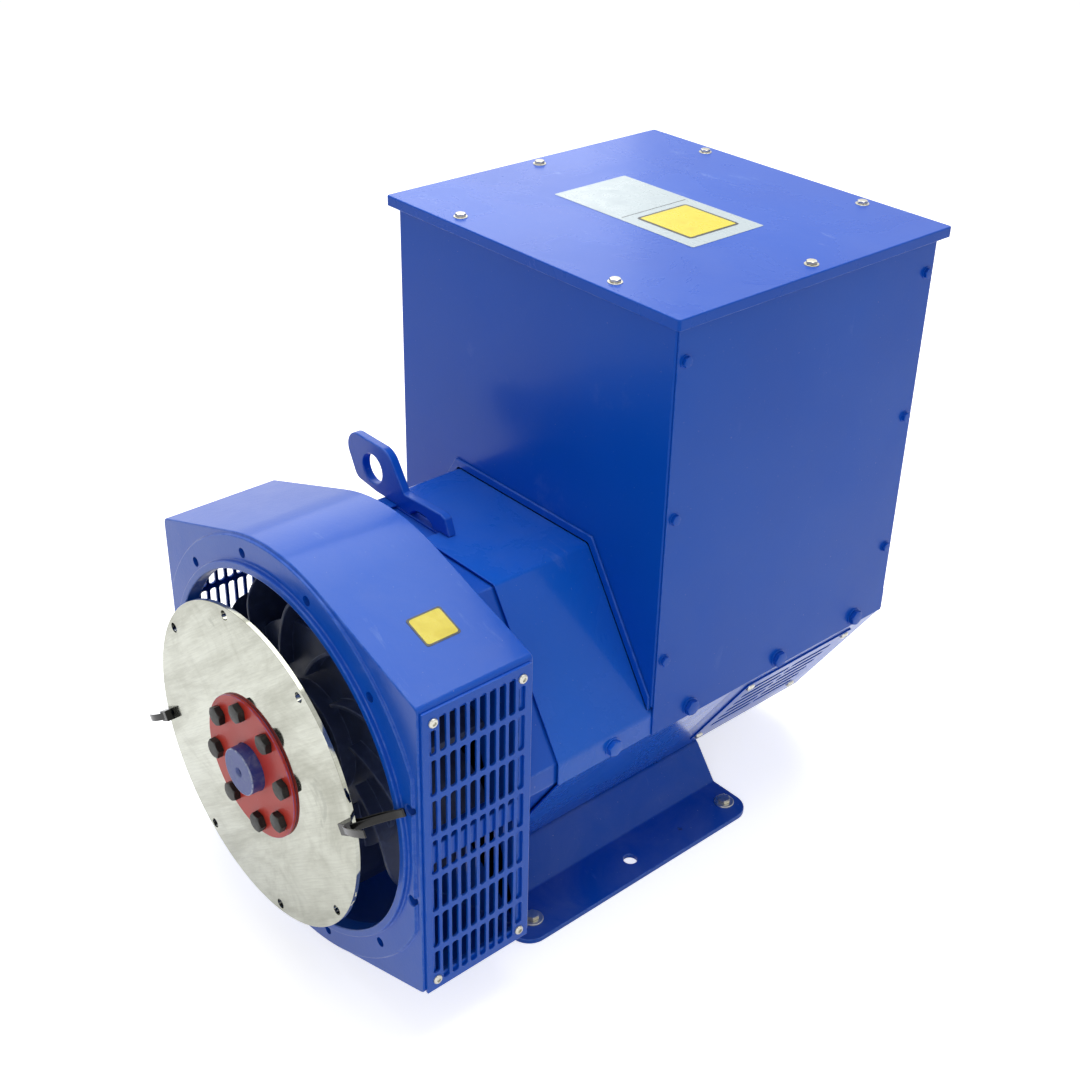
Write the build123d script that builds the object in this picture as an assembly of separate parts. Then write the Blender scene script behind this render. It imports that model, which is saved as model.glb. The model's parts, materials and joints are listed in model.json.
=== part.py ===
"""Generator alternator head: a four-pole brushless alternator with one rear bearing, driven through
flexible steel discs by the engine flywheel.  Millimetres.  The shaft axis is Y, the engine side is -Y,
+Z is up, and the origin is on the shaft axis in the face of the engine flange."""
import os
from math import cos, hypot, radians, sin, sqrt, tan

from build123d import *

# ---------------------------------------------------------------- general fits and stock
RUN_GAP = 0.3            # clearance between pieces that turn past each other or are slid together
SEAT_GAP = 0.05          # clearance of a pressed or keyed seat on the shaft
BOLT_GAP = 0.3           # radial clearance of a bolt in its hole
PANEL_SHEET = 2.0        # terminal box sheet steel
COVER_SHEET = 2.0        # frame cover sheet steel

# ---------------------------------------------------------------- engine side interface
FLANGE_PCD = 428.63      # engine housing bolt circle
FLANGE_HOLES = 12
FLANGE_HOLE_R = 5.5
SPIGOT_R = 204.79        # locates in the engine housing
SPIGOT_LENGTH = 5.5
SPIGOT_BORE_R = 196.6
FLANGE_RING_R = 231.0    # machined ring that carries the holes
FLANGE_RING_STEP = 3.0   # how far the ring stands proud of the housing
DISC_R = 176.21          # flexible coupling disc
DISC_PCD = 333.38
DISC_HOLES = 8
DISC_HOLE_R = 5.5
DISC_PROTRUSION = 39.6   # front of the discs, ahead of the flange face
DISC_SHEET = 2.4
DISC_COUNT = 2
ROTOR_PHASE = -10.5      # rest angle of the discs and their bolts

# ---------------------------------------------------------------- drive end adaptor (fan housing)
RIM_R = 234.0            # round top and bottom of the housing
SIDE_HALF = 218.4        # flat sides, which carry the air screens
SHOULDER_ANGLE = 19.0    # slope of the straight shoulders from the rim to the sides
CORNER_R = 7.0
HOUSING_REAR = 138.0
HOUSING_WALL = 6.0
FRONT_WALL = 12.0
REAR_WALL = 8.0
INLET_R = 150.0          # air enters the fan through this hole
NECK_INSET = 4.0         # the neck runs just inside the frame covers
NECK_WALL = 7.0
NECK_FLANGE = 10.0

# ---------------------------------------------------------------- air screens
SCREEN_SHEET = 3.2
SCREEN_WIDTH = 128.0
SCREEN_HEIGHT = 340.0
SCREEN_CENTRE_Y = 70.0
SCREEN_CENTRE_Z = -2.0
SLOT_COLUMNS = 10
SLOT_ROWS = 7
SLOT_WIDTH = 7.8
SLOT_HEIGHT = 41.0
SLOT_CORNER_R = 2.9
COLUMN_PITCH = 11.6
ROW_PITCH = 47.0
SCREEN_SCREW_Z = 157.0   # half the height between the screws
SCREEN_SCREW_R = 2.5
SCREEN_HEAD_R = 5.0
SCREEN_HEAD_HEIGHT = 2.8
WINDOW_MARGIN_Z = 14.0   # housing lip behind the ends of the screens
WINDOW_MARGIN_Y = 13.0
RIB_HEIGHT = 22.0        # cross rib at mid height of each window
RIB_DEPTH = 20.0

# ---------------------------------------------------------------- frame section
FRAME_HALF = 208.0       # outside of the vertical skirts
FRAME_TOP = 176.0
FRAME_TOP_HALF = 106.0
SKIRT_TOP = 14.0
SKIRT_BOTTOM = -12.0
FRAME_BOTTOM = -185.0
FRAME_BOTTOM_HALF = 97.0
COVER_START = 184.0
COVER_SEAM = 0.5         # gap between the upper and the lower cover
COVER_BOLT_Y = 258.0     # large bolt on each side of the upper cover
NOTCH = (-82.0, -8.0)    # notch in the upper cover for the tongue of the lifting lug
RAIL_WIDTH = 12.0

# ---------------------------------------------------------------- stator and rotor
CORE_START = 215.0
CORE_LENGTH = 220.0
CORE_R = 160.0
BORE_R = 113.0
AIR_GAP = 1.0
STATOR_SLOTS = 36
RING_BOLT_R = 165.0      # axial bolts through the clamping rings
ADAPTOR_BOLT_ANGLES = (28.0, 84.0, 152.0)
BRACKET_BOLT_ANGLES = (30.0, 62.0, 118.0, 150.0)
STATOR_SLOT_DEPTH = 24.0
STATOR_SLOT_WIDTH = 9.0
END_RING = 10.0          # clamping rings of the stator frame
BAR_ANGLES = (37.0, 92.0, 142.0, 218.0, 268.0, 323.0)
BAR_WIDTH = 24.0
BAR_HEIGHT = 14.0
BAR_GAP = 0.9            # from the core to the tie bars
WINDING_R = 150.0        # outside of the stator overhang
WINDING_LENGTH = 48.0
POLES = 4
POLE_HALF_WIDTH = 46.0
POLE_NECK_HALF = 30.0
POLE_TIP = 14.0
YOKE_HALF = 60.0
COIL_OVERHANG = 26.0
SHAFT_CORE_R = 40.0
COIL_GAP = 0.3
COIL_WIDTH = 11.0

# ---------------------------------------------------------------- shaft, hub and fan
NOSE_R = 25.6
NOSE_FRONT = -57.0
HUB_SEAT_R = 35.0
HUB_FLANGE_R = 77.5
HUB_FLANGE = 18.0
HUB_NECK_R = 54.0
HUB_REAR = 22.0
PRESSURE_PLATE = 3.5
COUPLING_BOLTS = 8
COUPLING_PCD = 125.0
COUPLING_BOLT_R = 6.0
COUPLING_HEAD_AF = 19.0
COUPLING_HEAD = 7.5
COUPLING_GRIP = 14.0     # how far the bolts reach into the hub
CENTRE_DRILL_R = 3.0
CENTRE_DRILL_DEPTH = 10.0
CENTRE_DRILL_MOUTH = 3.0
FAN_SEAT_R = 37.5
FAN_HUB_R = 62.0
FAN_HUB_LENGTH = 34.0
FAN_HUB_START = 24.0
FAN_R = 182.0
FAN_BLADES = 11
FAN_BLADE = 4.0
FAN_BLADE_FRONT = 26.0
FAN_BLADE_REAR = 122.0
FAN_EYE_R = 104.0
FAN_BLADE_ROUND = 34.0   # rounded front corner of each blade
FAN_PLATE = 6.0
FAN_SWEEP = 38.0         # degrees a blade leans back from root to tip

# ---------------------------------------------------------------- rear end
BRACKET_END = 698.0
BRACKET_WALL = 7.0
BRACKET_BACK = 10.0
EXCITER_START = 530.0
EXCITER_LENGTH = 58.0
EXCITER_R = 108.0
EXCITER_BORE_R = 84.0
EXCITER_GAP = 0.8
EXCITER_SEAT_R = 34.0
EXCITER_COIL = 9.0
BARREL_WALL = 8.0
BARREL_PORTS = 6
BARREL_PORT = (52.0, 34.0)  # across and along the barrel
PORT_SETBACK = 12.0
BOSS_LIP = 4.0
BEARING_BORE_R = 22.5
BEARING_R = 50.0
BEARING_WIDTH = 25.0
BEARING_START = 650.0
BALL_R = 8.4
BALL_COUNT = 8
BALL_CIRCLE_R = 36.25
BALL_GAP = 0.3
RACE = 5.5               # from the ball circle to the land of each ring
BEARING_BOSS_R = 64.0
CIRCLIP = 1.8
CIRCLIP_GAP = 0.4
CIRCLIP_SEAT = 1.5
O_RING = 4.8
CAP_R = 60.0
CAP_SHEET = 5.0
CAP_LIP = 8.0
CAP_BOLTS = 4
RECTIFIER_R = 78.0
RECTIFIER_PLATE = 5.0
RECTIFIER_SPLIT = 8.0
DIODE_CIRCLE_R = 56.0
DIODE_R = 8.0
DIODE_HEIGHT = 14.0
DIODE_STEP = 45.0
SUPPRESSOR_R = 11.0
SUPPRESSOR = 6.0
LOUVRE_START = 480.0
LOUVRE_LENGTH = 180.0
LOUVRE_TOP = 24.0        # distance down the lower slope from the skirt
LOUVRE_HEIGHT = 146.0
LOUVRE_SHEET = 2.0
LOUVRE_ROWS = 6
LOUVRE_SLOT = 9.0
LOUVRE_FRAME = 16.0
LOUVRE_SCREW_R = 3.0
LOUVRE_HEAD_R = 5.5
LOUVRE_HEAD = 3.0

# ---------------------------------------------------------------- feet and lifting
FOOT_PLANE = -235.0      # underside of the feet, below the shaft axis
FOOT_SHEET = 6.0
FOOT_START = 159.5
FOOT_LENGTH = 356.0
FOOT_OUTER = 193.0
FOOT_HEEL = 130.0        # where the sloping web meets the top of the flat foot
FOOT_INNER = 48.0
FOOT_BEND = 7.0
FOOT_CORNER_R = 24.0
FOOT_HOLE_X = 165.0
FOOT_HOLE_FRONT = 192.0
FOOT_HOLE_SPACING_Y = 304.0
FOOT_HOLE_R = 7.0
FOOT_MIDDLE_HOLE_Y = 340.0
FOOT_MIDDLE_HOLE_R = 8.0
FOOT_SMALL_HOLE_Y = 421.0
FOOT_SMALL_HOLE_R = 3.0
RAIL_X = 70.0            # foot rails of the stator frame
RAIL_GRIP = 10.0
LUG_EYE = (-124.0, 202.0)   # centre of the eye, x and z
LUG_EYE_R = 17.0
LUG_LIFT = 0.3           # the lug clears the cover sheet by this much
LUG_HEAD = ((-150.0, 215.0, 19.0), (-107.0, 212.0, 22.0), (-146.0, 191.5, 12.0), (-80.0, 186.0, 14.0))
LUG_LEG_END = 8.0        # tip of the leg
LUG_LEG_TOP = 198.0
LUG_ARCH = (-58.0, -20.0)

# ---------------------------------------------------------------- terminal box
BOX_START = 311.5
BOX_LENGTH = 383.5
LID_TOP = 460.4
LID_LIP = 11.4
LID_OVERHANG = 8.7
LID_CORNER_R = 3.0
FLANGE_FOLD = 18.0
PANEL_BEND = 1.8
SIDE_PANEL_INSET = 2.0   # side panels start this far behind the faces of the end panels
CUT_OUT_GAP = 5.0        # from the frame covers to the cut edge of the end panels
STRIP_WIDTH = 5.0
STRIP_DEPTH = 3.0
STRIP_FOOT = 6.0
LID_BOLT_X = 115.6
LID_SIDE_BOLT_X = 200.0
LID_BOLT_INSET = 10.0
SIDE_BOLT_ROWS = (412.0, 245.0, 79.0)
SIDE_BOLT_INSET = 12.5
BASE_BOLT_Y = (369.0, 509.0, 641.0)
SMALL_BOLT_R = 3.0
SMALL_HEAD_AF = 10.0
SMALL_HEAD = 4.0
LARGE_BOLT_R = 5.0
LARGE_HEAD_AF = 16.0
LARGE_HEAD = 6.4
SHANK = 8.0
TRAY_HEIGHT = 40.0
TRAY_TOP_HALF = 86.0
TRAY_FOOT = 16.0
TRAY_LENGTH = 90.0
TRAY_SETBACK = 1.0
BOARD = (168.0, 66.0, 14.0)
STUDS = 6
STUD_PITCH = 26.0
STUD_NUT = 5.0
LINK = 3.0
STUD_R = 4.0
STUD_HEIGHT = 34.0
REGULATOR = (36.0, 150.0, 134.0)
REGULATOR_Z = 330.0
REGULATOR_INSET = 115.0
MOUNT_HEIGHT = 14.0
MOUNT_R = 8.0


# ================================================================ helpers
def shaft_plane(y):
    """Sketch plane across the shaft at y: local x is +X and local y is +Z."""
    return Plane(origin=(0, y, 0), x_dir=(1, 0, 0), z_dir=(0, -1, 0))


def along(sketch, start, length):
    """Extrude a sketch of the shaft plane towards the rear."""
    return extrude(shaft_plane(start) * sketch, amount=length, dir=(0, 1, 0))


def tube(outer_r, inner_r, start, length):
    """Round ring about the shaft axis."""
    section = Circle(outer_r)
    if inner_r:
        section -= Circle(inner_r)
    return along(section, start, length)


def spin(shape, angle):
    """Turn a shape about the shaft axis; positive angles go from +Z towards +X."""
    return Rot(0, angle, 0) * shape


def around(shape, count, phase=0.0):
    """Copies of a shape evenly spaced about the shaft axis."""
    return [spin(shape, phase + 360.0 * k / count) for k in range(count)]


def polygon(points):
    """Face from corner points."""
    return make_face(Polyline(*points, close=True))


def bolt(head_af, head, shank_r, shank):
    """Hexagon bolt along Z: the head stands on z=0 and the shank goes down."""
    body = extrude(RegularPolygon(head_af / sqrt(3), 6), amount=head)
    return body + Pos(0, 0, -shank / 2) * Cylinder(shank_r, shank)


def place(shape, point, direction):
    """Move a shape from the origin so that its local Z points along a direction."""
    return Plane(origin=point, z_dir=direction) * shape


def group(shapes):
    """Several separate solids in one node."""
    solids = []
    for shape in shapes:
        solids += shape.solids()
    return Compound(children=solids)


# ================================================================ sections
def housing_section(inset=0.0):
    """Fan housing outline: round top and bottom, sloping shoulders, flat sides."""
    slope = radians(SHOULDER_ANGLE)
    rim = RIM_R - inset
    half = SIDE_HALF - inset
    touch_x, touch_z = rim * sin(slope), rim * cos(slope)
    corner_z = touch_z - (half - touch_x) * tan(slope)
    top = ThreePointArc((-touch_x, touch_z), (0, rim), (touch_x, touch_z))
    right = Polyline((touch_x, touch_z), (half, corner_z), (half, -corner_z), (touch_x, -touch_z))
    bottom = ThreePointArc((touch_x, -touch_z), (0, -rim), (-touch_x, -touch_z))
    left = Polyline((-touch_x, -touch_z), (-half, -corner_z), (-half, corner_z), (-touch_x, touch_z))
    section = make_face(top + right + bottom + left)
    corners = [v for v in section.vertices() if abs(abs(v.X) - half) < 0.01]
    return fillet(corners, max(CORNER_R - inset, 1.0))


def frame_section(inset=0.0):
    """Eight-sided frame outline: flat top, slopes, vertical skirts, lower slopes, flat bottom."""
    right = [(FRAME_TOP_HALF, FRAME_TOP), (FRAME_HALF, SKIRT_TOP), (FRAME_HALF, SKIRT_BOTTOM),
             (FRAME_BOTTOM_HALF, FRAME_BOTTOM)]
    left = [(-x, z) for x, z in reversed(right)]
    section = polygon(right + left)
    if inset:
        section = offset(section, amount=-inset, kind=Kind.INTERSECTION)
    return section


def lower_slope_plane(side):
    """Plane on the frame's lower slope: x runs to the rear, y up the slope, z outwards."""
    run = (FRAME_HALF - FRAME_BOTTOM_HALF, SKIRT_BOTTOM - FRAME_BOTTOM)
    length = hypot(*run)
    out = (side * run[1] / length, 0, -run[0] / length)
    return Plane(origin=(side * FRAME_HALF, 0, SKIRT_BOTTOM), x_dir=(0, side, 0), z_dir=out)


# ================================================================ drive end
def drive_end_adaptor():
    """Cast fan housing with the engine flange, its spigot, two side windows and a neck."""
    body = along(housing_section(), FLANGE_RING_STEP, HOUSING_REAR - FLANGE_RING_STEP)
    ring = Circle(FLANGE_RING_R) & Rectangle(2 * (SIDE_HALF - CORNER_R), 3 * FLANGE_RING_R)
    body += along(ring, 0, FRONT_WALL)
    body += tube(SPIGOT_R, 0, -SPIGOT_LENGTH, SPIGOT_LENGTH + FRONT_WALL)
    body += along(frame_section(NECK_INSET), HOUSING_REAR, CORE_START - END_RING - HOUSING_REAR)
    body -= along(housing_section(HOUSING_WALL), FRONT_WALL, HOUSING_REAR - REAR_WALL - FRONT_WALL)
    body -= tube(SPIGOT_BORE_R, 0, -SPIGOT_LENGTH, SPIGOT_LENGTH + FRONT_WALL)
    body -= tube(INLET_R, 0, FRONT_WALL, CORE_START)
    neck_end = CORE_START - END_RING - NECK_FLANGE
    body -= along(frame_section(NECK_INSET + NECK_WALL), HOUSING_REAR, neck_end - HOUSING_REAR)
    body -= tube(WINDING_R + 4, 0, HOUSING_REAR, CORE_START - HOUSING_REAR)
    window = Box(4 * HOUSING_WALL, SCREEN_WIDTH - 2 * WINDOW_MARGIN_Y, SCREEN_HEIGHT - 2 * WINDOW_MARGIN_Z)
    rib = Box(RIB_DEPTH, SCREEN_WIDTH - 2 * WINDOW_MARGIN_Y + 2, RIB_HEIGHT)
    for side in (-1, 1):
        at = Pos(side * SIDE_HALF, SCREEN_CENTRE_Y, SCREEN_CENTRE_Z)
        body -= at * window
        body += Pos(side * (SIDE_HALF - RIB_DEPTH / 2), SCREEN_CENTRE_Y, SCREEN_CENTRE_Z) * rib
    for cut in ring_bolt_holes(ADAPTOR_BOLT_ANGLES, neck_end - 1, NECK_FLANGE + 2):
        body -= cut
    hole = along(Pos(0, FLANGE_PCD / 2) * Circle(FLANGE_HOLE_R), -1, FRONT_WALL + 2)
    for cut in around(hole, FLANGE_HOLES, 180.0 / FLANGE_HOLES):
        body -= cut
    for side in (-1, 1):
        for y, z in screen_screw_points():
            body -= place(Cylinder(SCREEN_SCREW_R + BOLT_GAP, 60), (side * SIDE_HALF, y, z), (side, 0, 0))
    return body


def screen_screw_points():
    """Screw places of one air screen: above and below the outer columns of slots."""
    half = (SLOT_COLUMNS - 1) / 2 * COLUMN_PITCH
    return [(SCREEN_CENTRE_Y + dy, SCREEN_CENTRE_Z + dz)
            for dy in (-half, half) for dz in (-SCREEN_SCREW_Z, SCREEN_SCREW_Z)]


def slot_cells():
    """Centre and height of every slot, clear of the screws in the four corners."""
    cells = []
    for column in range(SLOT_COLUMNS):
        for row in range(SLOT_ROWS):
            y = (column - (SLOT_COLUMNS - 1) / 2) * COLUMN_PITCH
            z = (row - (SLOT_ROWS - 1) / 2) * ROW_PITCH
            low, high = z - SLOT_HEIGHT / 2, z + SLOT_HEIGHT / 2
            if column in (0, SLOT_COLUMNS - 1):
                clear = SCREEN_SCREW_Z - SCREEN_HEAD_R - 3.0
                low, high = max(low, -clear), min(high, clear)
            cells.append((y, (low + high) / 2, high - low))
    return cells


def air_screen(side):
    """Flat plate with rows of tall rounded slots, screwed over a side window."""
    plate = Rectangle(SCREEN_WIDTH, SCREEN_HEIGHT)
    for y, z, height in slot_cells():
        plate -= Pos(y, z) * RectangleRounded(SLOT_WIDTH, height, SLOT_CORNER_R)
    for y, z in screen_screw_points():
        plate -= Pos(y - SCREEN_CENTRE_Y, z - SCREEN_CENTRE_Z) * Circle(SCREEN_SCREW_R + BOLT_GAP)
    at = Plane(origin=(side * SIDE_HALF, SCREEN_CENTRE_Y, SCREEN_CENTRE_Z), x_dir=(0, 1, 0), z_dir=(1, 0, 0))
    return extrude(at * plate, amount=SCREEN_SHEET, dir=(side, 0, 0))


def screen_screws():
    """Pan head screws of both air screens."""
    screw = Pos(0, 0, SCREEN_HEAD_HEIGHT / 2) * Cylinder(SCREEN_HEAD_R, SCREEN_HEAD_HEIGHT)
    screw += Pos(0, 0, -SHANK / 2) * Cylinder(SCREEN_SCREW_R, SHANK)
    face = SIDE_HALF + SCREEN_SHEET
    return group([place(screw, (side * face, y, z), (side, 0, 0))
                  for side in (-1, 1) for y, z in screen_screw_points()])


# ================================================================ frame
def stator_frame():
    """Welded frame: a clamping ring at each end of the core, tie bars and the side rails."""
    ring = frame_section(COVER_SHEET) - Circle(CORE_R + SEAT_GAP)
    body = along(ring, CORE_START - END_RING, END_RING)
    body += along(ring, CORE_START + CORE_LENGTH, END_RING)
    bar = Pos(0, CORE_R + BAR_GAP + BAR_HEIGHT / 2) * Rectangle(BAR_WIDTH, BAR_HEIGHT)
    for angle in BAR_ANGLES:
        body += spin(along(bar, CORE_START, CORE_LENGTH), angle)
    rail_height = SKIRT_TOP - SKIRT_BOTTOM
    for side in (-1, 1):
        rail = Pos(side * (FRAME_HALF - COVER_SHEET - RAIL_WIDTH / 2), (SKIRT_TOP + SKIRT_BOTTOM) / 2)
        body += along(rail * Rectangle(RAIL_WIDTH, rail_height - 2), CORE_START, CORE_LENGTH)
    for side in (-1, 1):
        rail = Pos(side * RAIL_X, FRAME_BOTTOM + COVER_SHEET + (RAIL_GRIP + 2) / 2)
        body += along(rail * Rectangle(2 * RAIL_WIDTH, RAIL_GRIP + 2), CORE_START, CORE_LENGTH)
        for x, y in foot_bolt_points():
            body -= Pos(side * x, y, FRAME_BOTTOM) * Cylinder(LARGE_BOLT_R + BOLT_GAP, 4 * RAIL_GRIP)
        for y in frame_bolt_y():
            body -= place(Cylinder(LARGE_BOLT_R + BOLT_GAP, 40), (side * FRAME_HALF, y, 0), (side, 0, 0))
    cuts = ring_bolt_holes(ADAPTOR_BOLT_ANGLES, CORE_START - END_RING - 1, END_RING)
    cuts += ring_bolt_holes(BRACKET_BOLT_ANGLES, CORE_START + CORE_LENGTH + 1, END_RING)
    for cut in cuts:
        body -= cut
    return body


def frame_bolt_y():
    """Places along the frame of the large side bolts that reach the stator frame."""
    end = CORE_START + CORE_LENGTH
    return [COVER_BOLT_Y] + [y for y in BASE_BOLT_Y if y < end]


def frame_cover(upper):
    """Bent sheet that closes the upper or the lower half of the frame."""
    end = CORE_START + CORE_LENGTH + END_RING
    shell = frame_section() - frame_section(COVER_SHEET)
    tall = Rectangle(3 * FRAME_HALF, 2 * FRAME_HALF)
    if upper:
        shell &= Pos(0, SKIRT_BOTTOM + FRAME_HALF) * tall
    else:
        shell &= Pos(0, SKIRT_BOTTOM - COVER_SEAM - FRAME_HALF) * tall
    body = along(shell, COVER_START, end - COVER_START)
    for side in (-1, 1):
        if upper:
            for y in frame_bolt_y():
                body -= place(Cylinder(LARGE_BOLT_R + BOLT_GAP, 12), (side * FRAME_HALF, y, 0), (side, 0, 0))
        else:
            for x, y in foot_bolt_points():
                body -= Pos(side * x, y, FRAME_BOTTOM) * Cylinder(LARGE_BOLT_R + BOLT_GAP, 12)
    if upper:
        depth = CORE_START + RUN_GAP - COVER_START
        notch = Box(NOTCH[1] - NOTCH[0], 2 * depth, 6 * COVER_SHEET)
        body -= Pos((NOTCH[0] + NOTCH[1]) / 2, COVER_START, FRAME_TOP) * notch
    return body


def stator_core():
    """Stack of laminations with a row of slots round the bore."""
    section = Circle(CORE_R) - Circle(BORE_R)
    slot = Pos(0, BORE_R + STATOR_SLOT_DEPTH / 2) * Rectangle(STATOR_SLOT_WIDTH, STATOR_SLOT_DEPTH + 4)
    for k in range(STATOR_SLOTS):
        section -= Rot(0, 0, 360.0 * k / STATOR_SLOTS) * slot
    return along(section, CORE_START, CORE_LENGTH)


def stator_winding(front):
    """End turns of the stator winding, a rounded ring of bound copper."""
    inner = BORE_R + 6
    start = CORE_START - WINDING_LENGTH if front else CORE_START + CORE_LENGTH
    ring = tube(WINDING_R, inner, start, WINDING_LENGTH)
    free = start if front else start + WINDING_LENGTH
    edges = [e for e in ring.edges().filter_by(GeomType.CIRCLE) if abs(e.center().Y - free) < 0.01]
    return fillet(edges, (WINDING_R - inner) / 3)


# ================================================================ turning parts
def shaft():
    """Stepped shaft with a centre drill at its nose."""
    core_end = CORE_START + CORE_LENGTH
    steps = [(NOSE_R, NOSE_FRONT, disc_rear()), (HUB_SEAT_R, disc_rear(), FAN_HUB_START - 1),
             (FAN_SEAT_R, FAN_HUB_START - 1, CORE_START - COIL_OVERHANG),
             (SHAFT_CORE_R, CORE_START - COIL_OVERHANG, core_end + COIL_OVERHANG),
             (EXCITER_SEAT_R, core_end + COIL_OVERHANG, BEARING_START - 12),
             (BEARING_BORE_R + 5, BEARING_START - 12, BEARING_START),
             (BEARING_BORE_R, BEARING_START, BEARING_START + BEARING_WIDTH + 10)]
    body = None
    for radius, start, end in steps:
        step = tube(radius, 0, start, end - start)
        body = step if body is None else body + step
    drill = Pos(0, 0, CENTRE_DRILL_DEPTH / 2) * Cylinder(CENTRE_DRILL_R, CENTRE_DRILL_DEPTH)
    drill += Pos(0, 0, CENTRE_DRILL_MOUTH / 2) * Cone(
        CENTRE_DRILL_R + CENTRE_DRILL_MOUTH, CENTRE_DRILL_R, CENTRE_DRILL_MOUTH)
    body -= Plane(origin=(0, NOSE_FRONT, 0), z_dir=(0, 1, 0)) * drill
    groove = BEARING_START + BEARING_WIDTH + CIRCLIP_GAP / 2
    return body - tube(BEARING_BORE_R + 1, BEARING_BORE_R - CIRCLIP_SEAT, groove, CIRCLIP + CIRCLIP_GAP)


def disc_rear():
    """Rear face of the stack of coupling discs, where the hub begins."""
    return -DISC_PROTRUSION + DISC_COUNT * DISC_SHEET


def coupling_bolt_circle(radius):
    """Round holes on the coupling bolt circle, as a sketch."""
    hole = Pos(0, COUPLING_PCD / 2) * Circle(radius)
    holes = Sketch()
    for k in range(COUPLING_BOLTS):
        holes += Rot(0, 0, -(ROTOR_PHASE + 360.0 * k / COUPLING_BOLTS)) * hole
    return holes


def coupling_hub():
    """Flanged hub on the front of the shaft that carries the discs."""
    body = tube(HUB_FLANGE_R, 0, disc_rear(), HUB_FLANGE)
    body += tube(HUB_NECK_R, 0, disc_rear(), HUB_REAR - disc_rear())
    body -= tube(HUB_SEAT_R + SEAT_GAP, 0, disc_rear(), HUB_REAR - disc_rear())
    return body - along(coupling_bolt_circle(COUPLING_BOLT_R + BOLT_GAP), disc_rear(), COUPLING_GRIP + 1)


def coupling_discs():
    """Thin steel discs, stacked face to face."""
    sheet = Circle(DISC_R) - Circle(NOSE_R + BOLT_GAP)
    sheet -= coupling_bolt_circle(COUPLING_BOLT_R + BOLT_GAP)
    hole = Pos(0, DISC_PCD / 2) * Circle(DISC_HOLE_R)
    for k in range(DISC_HOLES):
        sheet -= Rot(0, 0, -(ROTOR_PHASE + 360.0 * k / DISC_HOLES)) * hole
    return group([along(sheet, -DISC_PROTRUSION + k * DISC_SHEET, DISC_SHEET) for k in range(DISC_COUNT)])


def pressure_plate():
    """Ring that clamps the discs to the hub."""
    ring = Circle(HUB_FLANGE_R) - Circle(NOSE_R + BOLT_GAP)
    ring -= coupling_bolt_circle(COUPLING_BOLT_R + BOLT_GAP)
    return along(ring, -DISC_PROTRUSION - PRESSURE_PLATE, PRESSURE_PLATE)


def coupling_bolts():
    """Hexagon bolts through the pressure plate and the discs into the hub."""
    grip = PRESSURE_PLATE + DISC_COUNT * DISC_SHEET + COUPLING_GRIP
    one = bolt(COUPLING_HEAD_AF, COUPLING_HEAD, COUPLING_BOLT_R, grip)
    one = place(one, (0, -DISC_PROTRUSION - PRESSURE_PLATE, COUPLING_PCD / 2), (0, -1, 0))
    return group(around(one, COUPLING_BOLTS, ROTOR_PHASE))


def fan():
    """Cast radial fan: hub, dished plate and wide blades with rounded front corners."""
    body = tube(FAN_HUB_R, 0, FAN_HUB_START, FAN_HUB_LENGTH)
    plate_y = FAN_HUB_START + FAN_HUB_LENGTH / 2
    body += tube(FAN_EYE_R + 22, 0, plate_y, FAN_PLATE)
    envelope = Plane.XY * polygon([(0, FAN_BLADE_FRONT), (FAN_R, FAN_BLADE_FRONT), (FAN_R, FAN_BLADE_REAR),
                                   (0, FAN_BLADE_REAR)])
    front = [v for v in envelope.vertices() if v.X > 1 and abs(v.Y - FAN_BLADE_FRONT) < 0.1]
    envelope = revolve(fillet(front, FAN_BLADE_ROUND), axis=Axis.Y)
    sweep = radians(FAN_SWEEP)
    tip = (FAN_R * 1.05 * sin(sweep), FAN_R * 1.05 * cos(sweep))
    root = (0, FAN_HUB_R + 18)
    middle = ((root[0] + tip[0]) / 2 - 16, (root[1] + tip[1]) / 2 + 13)
    spine = ThreePointArc(root, middle, tip)
    blade = trace(spine, FAN_BLADE)
    blade = along(blade, FAN_BLADE_FRONT, FAN_BLADE_REAR - FAN_BLADE_FRONT) & envelope
    for copy in around(blade, FAN_BLADES):
        body += copy
    return body - tube(FAN_SEAT_R + SEAT_GAP, 0, FAN_HUB_START, FAN_HUB_LENGTH)


def pole_section():
    """Cross section of the salient-pole rotor laminations."""
    rotor_r = BORE_R - AIR_GAP
    section = Circle(YOKE_HALF)
    pole = Pos(0, rotor_r / 2) * Rectangle(2 * POLE_NECK_HALF, rotor_r)
    shoe = Circle(rotor_r) - Circle(rotor_r - POLE_TIP)
    shoe &= Pos(0, rotor_r) * Rectangle(2 * POLE_HALF_WIDTH, rotor_r)
    for k in range(POLES):
        section += Rot(0, 0, 360.0 * k / POLES) * (pole + shoe)
    return (section & Circle(rotor_r)) - Circle(SHAFT_CORE_R + SEAT_GAP)


def rotor_core():
    """Rotor laminations on the shaft."""
    return along(pole_section(), CORE_START, CORE_LENGTH)


def rotor_windings():
    """One coil wound round each pole."""
    rotor_r = BORE_R - AIR_GAP
    low = YOKE_HALF + 4
    high = rotor_r * cos(radians(20)) - POLE_TIP - 4
    outer = Rectangle(2 * (POLE_NECK_HALF + COIL_WIDTH), CORE_LENGTH + 2 * (COIL_OVERHANG - 6))
    inner = Rectangle(2 * (POLE_NECK_HALF + COIL_GAP), CORE_LENGTH + 2 * COIL_GAP)
    coil = extrude(outer - inner, amount=high - low)
    coil = Pos(0, CORE_START + CORE_LENGTH / 2, low) * coil
    return group(around(coil, POLES))


def exciter_rotor_core():
    """Laminations of the exciter armature, on the shaft."""
    return tube(EXCITER_BORE_R - EXCITER_GAP, EXCITER_SEAT_R + SEAT_GAP, EXCITER_START, EXCITER_LENGTH)


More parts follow.
